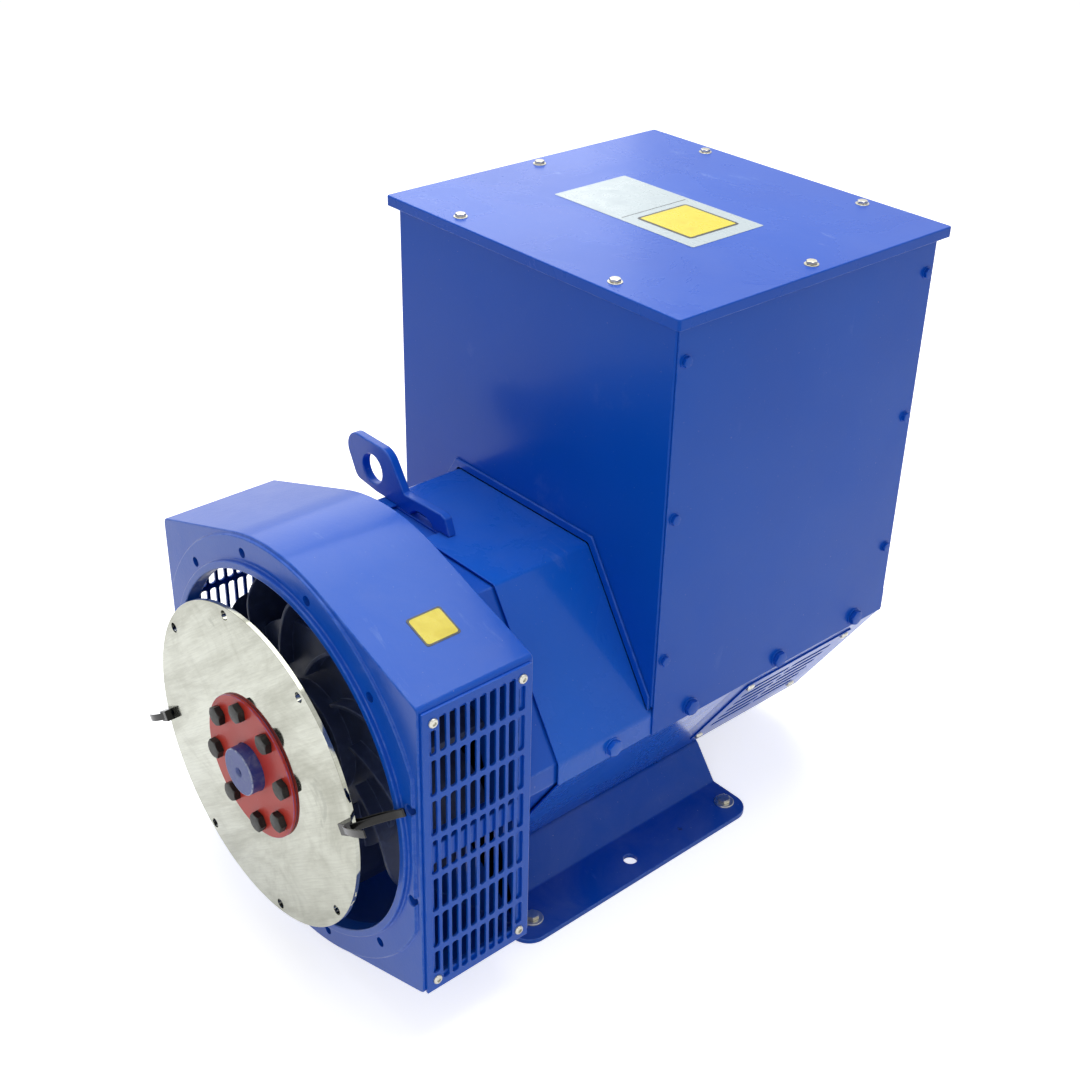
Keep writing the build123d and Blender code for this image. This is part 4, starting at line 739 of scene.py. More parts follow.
# ---------------------------------------------------------------- geometry node trees
class Rule(NodeTree):
    """A Geometry Nodes tree with named inputs, run once and kept as a plain mesh."""

    def __init__(self, name: str) -> None:
        """Start an empty tree with a geometry input and output."""
        super().__init__(bpy.data.node_groups.new(name, "GeometryNodeTree"))
        for way in ("INPUT", "OUTPUT"):
            self.tree.interface.new_socket(name="Geometry", in_out=way, socket_type="NodeSocketGeometry")
        self.entry = self.tree.nodes.new("NodeGroupInput")
        self.exit = self.tree.nodes.new("NodeGroupOutput")

    def ask(self, name: str, kind: str = "Float") -> Socket:
        """Add a named input and return the socket that carries it."""
        self.tree.interface.new_socket(name=name, in_out="INPUT", socket_type=f"NodeSocket{kind}")
        return self.entry.outputs[name]

    def vector(self, x: object = 0.0, y: object = 0.0, z: object = 0.0) -> Socket:
        """A vector from three numbers or sockets."""
        return self.add("ShaderNodeCombineXYZ", {0: x, 1: y, 2: z})

    def join(self, *parts: Socket) -> Socket:
        """Several geometries as one."""
        node = self.node("GeometryNodeJoinGeometry", {})
        for part in parts:
            self.feed(node.inputs[0], part)
        return node.outputs[0]

    def scatter(self, points: Socket, instance: Socket, **inputs: Socket) -> Socket:
        """Real copies of a geometry at points, turned or scaled there."""
        many = self.add("GeometryNodeInstanceOnPoints", {"Points": points, "Instance": instance, **inputs})
        return self.add("GeometryNodeRealizeInstances", {"Geometry": many})

    def end(self, geometry: Socket, finish: Socket) -> None:
        """Close the tree: the geometry with its material."""
        skin = self.add("GeometryNodeSetMaterial", {"Geometry": geometry, "Material": finish})
        self.feed(self.exit.inputs[0], skin)

    def run(self, name: str, start: bpy.types.Mesh | None, values: dict) -> BMesh:
        """Run the tree on a start mesh.

        Args:
            name: Name of the temporary object.
            start: Mesh that enters the tree, or none.
            values: Input name to value.

        Returns:
            The outcome, as a mesh to work on.
        """
        holder = linked(name, start or bpy.data.meshes.new(name))
        modifier = holder.modifiers.new("rule", "NODES")
        modifier.node_group = self.tree
        keys = {item.name: item.identifier for item in self.tree.interface.items_tree
                if item.in_out == "INPUT"}
        for key, value in values.items():
            modifier[keys[key]] = value
        mesh = bmesh.new()
        mesh.from_mesh(evaluated(holder))
        bpy.data.objects.remove(holder)
        return mesh


class SlottedSheet(Rule):
    """Sheet with a grid of rounded slots, standing on z = 0."""

    def __init__(self) -> None:
        """Build the tree."""
        super().__init__("slotted_sheet")
        wide, tall, thick = self.ask("Width"), self.ask("Height"), self.ask("Thickness")
        columns, rows = self.ask("Columns", "Int"), self.ask("Rows", "Int")
        step_x, step_y = self.ask("Column pitch"), self.ask("Row pitch")
        slot_x, slot_y, round_r = self.ask("Slot width"), self.ask("Slot height"), self.ask("Corner radius")
        cut, finish = self.ask("Corner cut"), self.ask("Material", "Material")
        span_x = self.times(step_x, self.minus(columns, 1.0))
        span_y = self.times(step_y, self.minus(rows, 1.0))
        grid = self.add("GeometryNodeMeshGrid", {"Size X": span_x, "Size Y": span_y, "Vertices X": columns,
                                                 "Vertices Y": rows})
        place = self.node("ShaderNodeSeparateXYZ", {0: self.add("GeometryNodeInputPosition", {})}).outputs
        end_column = self.outermost(place[0], span_x, step_x)
        lost = self.times(self.times(end_column, self.outermost(place[1], span_y, step_y)), cut)
        shift = self.times(self.times(self.sum("SIGN", place[1]), lost), -0.5)
        moved = self.add("GeometryNodeSetPosition", {"Geometry": grid, "Offset": self.vector(0.0, shift)})
        share = self.sum("DIVIDE", self.minus(slot_y, lost), slot_y)
        slot = self.add("GeometryNodeCurvePrimitiveQuadrilateral", {"Width": slot_x, "Height": slot_y})
        slot = self.add("GeometryNodeFilletCurve", {"Curve": slot, "Count": 4, "Radius": round_r},
                        mode="POLY")
        slots = self.scatter(moved, slot, Scale=self.vector(1.0, share, 1.0))
        rim = self.add("GeometryNodeCurvePrimitiveQuadrilateral", {"Width": wide, "Height": tall})
        flat = self.add("GeometryNodeFillCurve", {"Curve": self.join(rim, slots)}, mode="TRIANGLES")
        raised = self.add("GeometryNodeExtrudeMesh", {
            "Mesh": flat, "Offset": self.vector(0.0, 0.0, 1.0), "Offset Scale": thick, "Individual": False},
                          mode="FACES")
        both = self.join(raised, self.add("GeometryNodeFlipFaces", {"Mesh": flat}))
        self.end(self.add("GeometryNodeMergeByDistance", {"Geometry": both, "Distance": 1e-6}), finish)

    def outermost(self, place: Socket, span: Socket, step: Socket) -> Socket:
        """Pattern that is 1 in the first and last row or column of a grid."""
        limit = self.minus(self.times(span, 0.5), self.times(step, 0.5))
        return self.sum("GREATER_THAN", self.sum("ABSOLUTE", place), limit)


class Fasteners(Rule):
    """The same fastener at many points, each turned about its own axis."""

    def __init__(self) -> None:
        """Build the tree."""
        super().__init__("fasteners")
        head, seed = self.ask("Fastener", "Object"), self.ask("Seed", "Int")
        turn, finish = self.ask("Largest turn"), self.ask("Material", "Material")
        axis = self.add("GeometryNodeInputNamedAttribute", {"Name": "axis"}, data_type="FLOAT_VECTOR")
        aligned = self.add("FunctionNodeAlignRotationToVector", {"Vector": axis}, axis="Z")
        angle = self.node("FunctionNodeRandomValue", {"Seed": seed}, data_type="FLOAT").outputs[1]
        angle = self.times(angle, turn)
        local = self.add("FunctionNodeAxisAngleToRotation", {"Axis": (0, 0, 1), "Angle": angle})
        rotation = self.add("FunctionNodeRotateRotation", {"Rotation": aligned, "Rotate By": local},
                            rotation_space="LOCAL")
        source = self.node("GeometryNodeObjectInfo", {"Object": head, "As Instance": True})
        many = self.scatter(self.entry.outputs["Geometry"], source.outputs["Geometry"], Rotation=rotation)
        self.end(many, finish)


class CoilRing(Rule):
    """Ring of overlapping coil ends about the shaft."""

    def __init__(self) -> None:
        """Build the tree."""
        super().__init__("coil_ring")
        count, wire, lean = self.ask("Coils", "Int"), self.ask("Bundle radius"), self.ask("Reach")
        inner, outer, rise = self.ask("Inner radius"), self.ask("Outer radius"), self.ask("Rise")
        finish = self.ask("Material", "Material")
        half = self.times(lean, 0.5)
        middle = self.times(self.sum("ADD", inner, outer), 0.5)

        def across(radius: Socket, share: float) -> Socket:
            """Place across the shaft at a radius and a share of the half reach."""
            return self.times(radius, self.sum("SINE", self.times(half, share)))

        def foot(radius: Socket, share: float) -> Socket:
            """End of a coil in the face of the core."""
            return self.vector(across(radius, share), 0.0, self.times(radius, self.sum("COSINE", half)))
        path = self.add("GeometryNodeCurvePrimitiveBezierSegment", {
            "Resolution": 12, "Start": foot(inner, -1.0), "End": foot(outer, 1.0),
            "Start Handle": self.vector(across(inner, -0.7), rise, middle),
            "End Handle": self.vector(across(outer, 0.7), rise, middle)})
        tube = self.add("GeometryNodeCurvePrimitiveCircle", {"Resolution": 8, "Radius": wire})
        coil = self.add("GeometryNodeCurveToMesh", {"Curve": path, "Profile Curve": tube, "Fill Caps": True})
        points = self.add("GeometryNodeMeshLine", {"Count": count, "Offset": (0, 0, 0)})
        angle = self.times(self.add("GeometryNodeInputIndex", {}), self.sum("DIVIDE", 2 * pi, count))
        spin = self.add("FunctionNodeAxisAngleToRotation", {"Axis": (0, 1, 0), "Angle": angle})
        self.end(self.scatter(points, coil, Rotation=spin), finish)


@dataclass(frozen=True)
class Fastener:
    """One kind of screw or bolt, seated on z = 0 with its shank below."""

    drive: Drive
    across: float
    height: float
    shank_r: float
    shank: float
    washer_r: float = 0.0
    washer: float = 0.0008

    def mesh(self) -> BMesh:
        """Head, washer and shank as closed shells."""
        mesh = bmesh.new()
        seat = self.washer if self.washer_r else 0.0
        if self.washer_r:
            lathe(mesh, [(0, 0), (self.washer_r, 0), (self.washer_r, seat * 0.7),
                         (self.washer_r - seat * 0.3, seat), (0, seat)], 32)
        if self.drive is Drive.HEX:
            self.hexagon(mesh, seat)
        else:
            self.button(mesh, seat)
        lathe(mesh, [(0, -self.shank), (self.shank_r - 0.0006, -self.shank),
                     (self.shank_r, 0.0006 - self.shank), (self.shank_r, seat + 0.0005),
                     (0, seat + 0.0005)], 16)
        return mesh

    def hexagon(self, mesh: BMesh, seat: float) -> None:
        """Hexagon head with a chamfered crown and a washer face.

        Args:
            mesh: Mesh that gets the head.
            seat: Height of the head's underside.
        """
        flat = self.across / 2
        crown = flat * 0.94
        top = self.height

        def corner(angle: float, ring: int) -> Pair:
            """Radius and height of a ring at an angle."""
            side = (angle + pi / 6) % (pi / 3) - pi / 6
            reach = flat / cos(side)
            if ring == 1:
                return min(reach, flat * 0.97), seat
            if ring == 2:
                return min(reach, flat * 0.97), seat + 0.0004
            if ring == 3:
                return reach, seat + 0.0004
            if ring == 4:
                return reach, top - (reach - crown) * tan(radians(30))
            return crown, top
        lathe(mesh, [(0, seat), (1, 0), (1, 0), (1, 0), (1, 0), (1, 0), (0, top - 0.0001)], 48, corner)

    def button(self, mesh: BMesh, seat: float) -> None:
        """Domed head with a hexagon socket or a cross-shaped recess.

        Args:
            mesh: Mesh that gets the head.
            seat: Height of the head's underside.
        """
        r, top = self.across / 2, self.height
        deep = top * 0.45

        def recess(angle: float) -> float:
            """Radius of the recess at an angle."""
            if self.drive is Drive.SOCKET:
                return r * 0.42 / cos((angle + pi / 6) % (pi / 3) - pi / 6)
            wing = (angle + pi / 4) % (pi / 2) - pi / 4
            return min(r * 0.58 / max(cos(wing), 0.1), r * 0.15 / max(abs(sin(wing)), 0.12))

        def ring_at(angle: float, ring: int) -> Pair:
            """Radius and height of a ring at an angle."""
            rows = ((r, seat), (r, seat + (top - seat) * 0.35), (r * 0.93, seat + (top - seat) * 0.68),
                    (r * 0.8, seat + (top - seat) * 0.9), (r * 0.66, top))
            if ring <= 5:
                return rows[ring - 1]
            if ring == 6:
                return recess(angle), top
            return recess(angle) * 0.9, top - deep
        lathe(mesh, [(0, seat)] + [(1, 0)] * 7 + [(0, top - deep)], 48, ring_at)


class FastenerKit:
    """Puts one mesh of fasteners on each group of packed ones."""

    def __init__(self, shop: Shop) -> None:
        """Take the bench and build the tree."""
        self.shop = shop
        self.rule = Fasteners()

    def fit(self, node: str, kind: Fastener, seats: Iterable[Seat], finish: Finish, seed: int,
            slot: str | None = None) -> bpy.types.Object:
        """Make a group of fasteners.

        Args:
            node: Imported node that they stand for, or the name of the piece if there is none.
            kind: The fastener.
            seats: Point and outward direction of each.
            finish: Their finish.
            seed: Seed of their turns.
            slot: Material slot of the record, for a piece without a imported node.

        Returns:
            The finished object.
        """
        name, replaces = (node, ()) if slot else (f"{node}_detailed", (node,))
        places, axes = zip(*seats)
        points = bpy.data.meshes.new(name)
        points.from_pydata([tuple(place) for place in places], [], [])
        axis = points.attributes.new("axis", "FLOAT_VECTOR", "POINT")
        axis.data.foreach_set("vector", [c for direction in axes for c in direction])
        head = linked("head", plain("head", kind.mesh()))
        mesh = self.rule.run(name, points, {"Fastener": head, "Seed": seed, "Largest turn": 2 * pi,
                                            "Material": finish.material()})
        bpy.data.objects.remove(head)
        body = self.shop.body_of.get(node, Body.FRAME)
        return self.shop.piece(name, mesh, finish, body, 0.0, 1, replaces, slot)


def spun(radius: float, y: float, angle: float) -> Vector:
    """Point at a radius from the shaft, its angle in degrees from +Z towards +X."""
    return Vector((radius * sin(radians(angle)), y, radius * cos(radians(angle))))


class Assembly:
    """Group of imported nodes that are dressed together."""

    def build(self, shop: Shop, kit: FastenerKit) -> None:
        """Build and dress the assembly.

        Args:
            shop: The bench.
            kit: Fasteners.
        """
        raise NotImplementedError


# ---------------------------------------------------------------- drive end
@dataclass
class DriveEnd(Assembly):
    """Fan housing, its two air screens and their screws."""

    side_half: float = 0.2184
    screen_sheet: float = 0.0032
    screen_size: Pair = (0.128, 0.340)
    screen_centre: Pair = (0.070, -0.002)
    slots: tuple[int, int] = (10, 7)
    slot_size: Pair = (0.0078, 0.041)
    slot_round: float = 0.0029
    pitch: Pair = (0.0116, 0.047)
    corner_cut: float = 0.0135
    screw_offset: Pair = (0.0522, 0.157)
    screw: Fastener = Fastener(Drive.SOCKET, 0.010, 0.0028, 0.0025, 0.008)
    shoulder: float = 19.0
    rim_r: float = 0.234
    badge_centre: Pair = (0.150, 0.075)
    badge_size: Pair = (0.040, 0.036)

    def build(self, shop: Shop, kit: FastenerKit) -> None:
        """Build and dress the drive end."""
        shop.dress("drive_end_adaptor", CAST_BLUE, 0.0014, 3)
        rule = SlottedSheet()
        for side, name in ((1, "air_screen_right"), (-1, "air_screen_left")):
            mesh = rule.run(name, None, {
                "Width": self.screen_size[0], "Height": self.screen_size[1], "Thickness": self.screen_sheet,
                "Columns": self.slots[0], "Rows": self.slots[1], "Column pitch": self.pitch[0],
                "Row pitch": self.pitch[1], "Slot width": self.slot_size[0], "Slot height": self.slot_size[1],
                "Corner radius": self.slot_round, "Corner cut": self.corner_cut,
                "Material": CAST_BLUE.material()})
            at = frame_at((side * self.side_half, *self.screen_centre), (0, side, 0), (side, 0, 0))
            merge_flats(mesh)
            shop.piece(f"{name}_slotted", placed(mesh, at), CAST_BLUE, edge=0.0005, replaces=(name,))
        y, z = self.screen_centre
        far_y, far_z = self.screw_offset
        seats = [((side * (self.side_half + self.screen_sheet), y + a * far_y, z + b * far_z), (side, 0, 0))
                 for side in SIDES for a in SIDES for b in SIDES]
        kit.fit("screen_screws", self.screw, seats, ZINC, seed=3)
        self.badge(shop)

    def badge(self, shop: Shop) -> None:
        """Plain yellow marker with a dark border on the right shoulder of the housing."""
        slope = radians(self.shoulder)
        out = Vector((sin(slope), 0, cos(slope)))
        down = Vector((cos(slope), 0, -sin(slope)))
        x, y = self.badge_centre
        touch = Vector((self.rim_r * sin(slope), 0, self.rim_r * cos(slope)))
        centre = touch + down * ((x - touch.x) / cos(slope)) + Vector((0, y, 0))
        for name, grow, lift, finish in (("shoulder_marker_border", 0.0, 0.0001, FILM_DARK),
                                         ("shoulder_marker", -0.004, 0.00035, FILM_YELLOW)):
            mesh = label(self.badge_size[0] + grow, self.badge_size[1] + grow, 0.003, 0.00025)
            shop.piece(name, placed(mesh, frame_at(centre + out * lift, (0, 1, 0), out)), finish)


def label(width: float, height: float, corner: float, thick: float) -> BMesh:
    """Thin film with rounded corners on z = 0, centred.

    Args:
        width: Size along X.
        height: Size along Y.
        corner: Corner radius.
        thick: Thickness.

    Returns:
        The film's mesh.
    """
    mesh = bmesh.new()
    low, high = [], []
    for k, (a, b) in enumerate(CORNERS):
        for step in range(5):
            angle = radians(90 * k + 22.5 * step)
            x = a * (width / 2 - corner) + corner * cos(angle)
            y = b * (height / 2 - corner) + corner * sin(angle)
            low.append(mesh.verts.new((x, y, 0)))
            high.append(mesh.verts.new((x, y, thick)))
    bridge(mesh, low, high)
    mesh.faces.new(low[::-1])
    mesh.faces.new(high)
    return mesh


# ---------------------------------------------------------------- coupling, shaft and fan
@dataclass(frozen=True)
class TransitTie:
    """Nylon tie looped through a hole of the discs, with its head in front and its free end left long."""

    name: str
    hole: float
    aim: float
    free: float
    hole_r: float = 0.16669
    rim_r: float = 0.17621
    lip: Pair = (0.1966, 0.2060)
    bend_r: float = 0.214
    faces: Pair = (-0.0396, -0.0348)
    width: float = 0.0076
    sheet: float = 0.0018
    head: Triple = (0.0135, 0.0118, 0.0088)

    @property
    def heading(self) -> Vector:
        """Direction from the disc's hole to the outer bend."""
        return (spun(self.bend_r, 0.0, self.aim) - spun(self.hole_r, 0.0, self.hole)).normalized()

    def run_to(self, radius: float) -> float:
        """Distance from the hole, along the heading, at which a radius is reached."""
        slope = spun(self.hole_r, 0.0, self.hole).dot(self.heading)
        return sqrt(slope * slope + radius * radius - self.hole_r ** 2) - slope

    def loop(self) -> list[Pair]:
        """Points of the closed loop: distance from the hole along the heading, and place along the shaft."""
        front, back = self.faces
        rim, tip = self.run_to(self.rim_r), self.run_to(self.bend_r)
        inner, outer = self.run_to(self.lip[0]), self.run_to(self.lip[1])
        return [(0.0022, (front + back) / 2), (0.0032, front - 0.0020), (rim * 0.7, front - 0.0038),
                (rim + 0.004, front - 0.0014), ((rim + tip) / 2, front * 0.57), (tip - 0.006, -0.0095),
                (tip, -0.0060), (tip - 0.004, -0.0032), (outer, -0.0082), (inner - 0.004, -0.0138),
                (rim + 0.003, back + 0.0072), (0.0085, back + 0.0044), (0.0034, back + 0.0022)]

    def tail(self) -> list[Pair]:
        """Points of the free end, from the head outwards."""
        front = self.faces[0]
        start = self.run_to(self.rim_r) * 0.6 - 0.004
        return [(start + self.free * k / 5, front - 0.0062 - 0.006 * sin(pi * k / 7)) for k in range(6)]

    def build(self, shop: Shop) -> None:
        """Make the loop, the free end and the head as one piece.

        Args:
            shop: The bench.
        """
        mesh = bmesh.new()
        hole = spun(self.hole_r, 0.0, self.hole)
        across = self.heading.cross(Vector((0, 1, 0)))
        for route, closed in ((self.loop(), True), (self.tail(), False)):
            points = [hole + self.heading * u + Vector((0, y, 0)) for u, y in smooth(route, closed)]
            ribbon(mesh, points, across, self.width, self.sheet, closed)
        centre = hole + self.heading * self.run_to(self.rim_r) * 0.6 + Vector((0, self.faces[0] - 0.0042, 0))
        block = bmesh.ops.create_cube(mesh, size=1.0)["verts"]
        at = Matrix((self.heading, across, Vector((0, 1, 0)))).transposed().to_4x4()
        at = Matrix.Translation(centre) @ at @ Matrix.Diagonal((*self.head, 1))
        bmesh.ops.transform(mesh, matrix=at, verts=block)
        bmesh.ops.recalc_face_normals(mesh, faces=mesh.faces)
        shop.piece(f"transit_tie_{self.name}", mesh, NYLON, Body.ROTOR, 0.0005, 2)


def smooth(route: Sequence[Pair], closed: bool, steps: int = 6) -> list[Pair]:
    """Catmull-Rom curve through a route.

    Args:
        route: Points to pass through.
        closed: Whether the last point joins the first.
        steps: Points for each stretch.

    Returns:
        The points of the curve.
    """
    count = len(route)
    made = []
    for k in range(count if closed else count - 1):
        if closed:
            four = [route[(k + j) % count] for j in (-1, 0, 1, 2)]
        else:
            four = [route[min(max(k + j, 0), count - 1)] for j in (-1, 0, 1, 2)]
        for step in range(steps):
            t = step / steps
            made.append(tuple(0.5 * (2 * b + (c - a) * t + (2 * a - 5 * b + 4 * c - d) * t * t
                                     + (3 * b - a - 3 * c + d) * t ** 3) for a, b, c, d in zip(*four)))
    return made if closed else made + [route[-1]]


def ribbon(mesh: BMesh, points: Sequence[Vector], across: Vector, width: float, sheet: float,
           closed: bool) -> None:
    """Flat strap along a line of points, all of it turned the same way across.

    Args:
        mesh: Mesh that gets the strap.
        points: Middle line.
        across: Direction of the width.
        width: Width.
        sheet: Thickness.
        closed: Whether the end joins the start.
    """
    count = len(points)
    rings = []
    for k, point in enumerate(points):
        before = points[k - 1] if closed or k else point
        after = points[(k + 1) % count] if closed or k < count - 1 else point
        up = (after - before).normalized().cross(across) * sheet / 2
        side = across * width / 2
        rings.append([mesh.verts.new(point + side * a + up * b) for a, b in CORNERS])
    for k in range(count if closed else count - 1):
        bridge(mesh, rings[k], rings[(k + 1) % count])
    if not closed:
        mesh.faces.new(rings[0])
        mesh.faces.new(rings[-1])


@dataclass
class Coupling(Assembly):
    """Shaft nose, hub, flexible discs, pressure plate, bolts, the two transit ties and the fan."""

    disc_front: float = -0.0396
    plate: float = 0.0035
    phase: float = -10.5
    bolt_circle: float = 0.0625
    bolt: Fastener = Fastener(Drive.HEX, 0.019, 0.0075, 0.006, 0.022)
    ties: tuple[TransitTie, ...] = (
        TransitTie("right", 79.5, 75.0, 0.05), TransitTie("left", 259.5, 255.0, 0.034))

    def build(self, shop: Shop, kit: FastenerKit) -> None:
        """Build and dress the coupling."""
        shop.dress("coupling_discs", DISC, 0.0003, 1)
        shop.dress("pressure_plate", PLATE_RED, 0.0006)
        shop.dress("coupling_hub", SHAFT, 0.0008)
        shop.dress("shaft", NOSE, 0.0012, 3)
        seats = [(spun(self.bolt_circle, self.disc_front - self.plate, self.phase + 45 * k), (0, -1, 0))
                 for k in range(8)]
        kit.fit("coupling_bolts", self.bolt, seats, BLACK, seed=5)
        for tie in self.ties:
            tie.build(shop)
        shop.dress("fan", FAN_DARK, 0.0008)


# ---------------------------------------------------------------- frame
@dataclass
class FrameSection(Assembly):
    """Frame covers, lifting lug, feet and their bolts."""

    half: float = 0.208
    cover_bolt_y: float = 0.258
    rail_x: float = 0.070
    bottom: float = -0.185
    foot_sheet: float = 0.006
    foot_bolt_rows: tuple[float, ...] = (0.237, 0.325, 0.413)
    foot_plane: float = -0.235
    hole_x: float = 0.165
    hole_rows: tuple[float, ...] = (0.192, 0.496)
    large: Fastener = Fastener(Drive.HEX, 0.016, 0.0064, 0.005, 0.008, 0.0105, 0.0012)
    hold_down: Fastener = Fastener(Drive.HEX, 0.013, 0.0072, 0.0055, 0.0059, 0.012, 0.002)

    def build(self, shop: Shop, kit: FastenerKit) -> None:
        """Build and dress the frame."""
        for node in ("frame_cover_top", "frame_cover_bottom"):
            shop.dress(node, FRAME_BLUE, 0.0005, 2, self.soften_folds)
        shop.dress("lifting_lug", CAST_BLUE, 0.0014, 3)
        shop.dress_each({"foot_right": FOOT_BLUE, "foot_left": FOOT_BLUE}, 0.0008)
        kit.fit("frame_cover_bolts", self.large,
                [((s * self.half, self.cover_bolt_y, 0), (s, 0, 0)) for s in SIDES], FRAME_BLUE, seed=7)
        kit.fit("foot_bolts", self.large, [((s * self.rail_x, y, self.bottom - self.foot_sheet), (0, 0, -1))
                                           for s in SIDES for y in self.foot_bolt_rows], FOOT_BLUE, seed=9)
        kit.fit("hold_down_bolts", self.hold_down,
                [((s * self.hole_x, y, self.foot_plane + self.foot_sheet), (0, 0, 1))
                 for s in SIDES for y in self.hole_rows], ZINC, seed=11, slot="zinc_steel")

    @staticmethod
    def soften_folds(mesh: BMesh) -> None:
        """Give the long folds of a bent cover a wider radius."""
        folds = []
        for line in mesh.edges:
            run = line.verts[1].co - line.verts[0].co
            if len(line.link_faces) != 2 or abs(run.y) < 0.03 or abs(run.y) < run.length * 0.999:
                continue
            turn = line.link_faces[0].normal.angle(line.link_faces[1].normal, 0.0)
            if radians(20) < turn < radians(80) and line.is_convex:
                folds.append(line)
        bmesh.ops.bevel(mesh, geom=folds, offset=0.0035, segments=4, profile=0.5, affect="EDGES",
                        clamp_overlap=False)


# ---------------------------------------------------------------- terminal box
@dataclass
class TerminalBox(Assembly):
    """Lid, panels, edging strip, bolts, labels and what is inside."""

    end: float = 0.695
    half: float = 0.210
    lid_top: float = 0.4604
    lid_bolts: tuple[Pair, ...] = (
        (-0.1156, 0.3215), (-0.1156, 0.685), (0.1156, 0.3215), (0.1156, 0.685), (-0.2, 0.50325),
        (0.2, 0.50325))
    side_rows: tuple[float, ...] = (0.412, 0.245, 0.079)
    side_columns: tuple[float, ...] = (0.324, 0.6825)
    base_rows: tuple[float, ...] = (0.369, 0.509, 0.641)
    lid_screw: Fastener = Fastener(Drive.HEX, 0.010, 0.004, 0.003, 0.008, 0.0075, 0.0009)
    side_screw: Fastener = Fastener(Drive.HEX, 0.010, 0.004, 0.003, 0.008, 0.0068, 0.0009)
    base_bolt: Fastener = Fastener(Drive.HEX, 0.016, 0.0064, 0.005, 0.010, 0.0105, 0.0012)
    label_corners: tuple[Pair, ...] = (
        (-0.1064, 0.445), (-0.1126, 0.5506), (0.0952, 0.5482), (0.0992, 0.445))

    def build(self, shop: Shop, kit: FastenerKit) -> None:
        """Build and dress the terminal box."""
        shop.dress("terminal_box_lid", LID_BLUE, 0.0005)
        shop.dress_each(dict.fromkeys(("box_panel_drive_end", "box_panel_rear"), PANEL_BLUE), 0.0004)
        shop.dress_each(dict.fromkeys(("side_panel_right", "side_panel_left"), PANEL_BLUE), 0.0005)
        shop.dress("edging_strip", PANEL_BLUE, 0.0012, 3)
        kit.fit("lid_bolts", self.lid_screw, [((x, y, self.lid_top), (0, 0, 1)) for x, y in self.lid_bolts],
                ZINC, seed=13)
        kit.fit("side_panel_bolts", self.side_screw, [((s * self.half, y, z), (s, 0, 0)) for s in SIDES
                                                      for y in self.side_columns for z in self.side_rows],
                PANEL_BLUE, seed=15)
        kit.fit("side_panel_base_bolts", self.base_bolt,
                [((s * self.half, y, 0), (s, 0, 0)) for s in SIDES for y in self.base_rows], PANEL_BLUE,
                seed=17)
        self.labels(shop)
        shop.dress_each({"terminal_tray": ZINC, "terminal_board": BOARD, "terminal_studs": BRASS,
                         "terminal_links": COPPER, "voltage_regulator": POTTING, "regulator_mounts": RUBBER},
                        0.0004)

    def labels(self, shop: Shop) -> None:
        """Blank label on the lid, pale with a thin rule and a framed yellow block, left without lettering."""
        left, far, right, near = self.label_corners
        x, y = (sum(corner[k] for corner in self.label_corners) / 4 for k in (0, 1))
        width = (right[0] + near[0] - left[0] - far[0]) / 2
        depth = (far[1] + right[1] - left[1] - near[1]) / 2
        along = Vector((near[0] - left[0], near[1] - left[1], 0))
        base = frame_at((x, y, self.lid_top + 0.0001), along, (0, 0, 1))
        shop.piece("lid_label", placed(label(width, depth, 0.002, 0.0002), base), FILM_PALE)
        for name, across, size, corner, lift, finish in (
                ("rule", -0.02, (0.0008, depth * 0.9), 0.0003, 0.0002, FILM_DARK),
                ("frame", 0.22, (width * 0.38, depth * 0.70), 0.004, 0.0002, FILM_DARK),
                ("block", 0.22, (width * 0.38 - 0.006, depth * 0.70 - 0.006), 0.002, 0.00035, FILM_YELLOW)):
            at = base @ Matrix.Translation((width * across, 0, lift))
            shop.piece(f"lid_label_{name}", placed(label(*size, corner, 0.00015), at), finish)


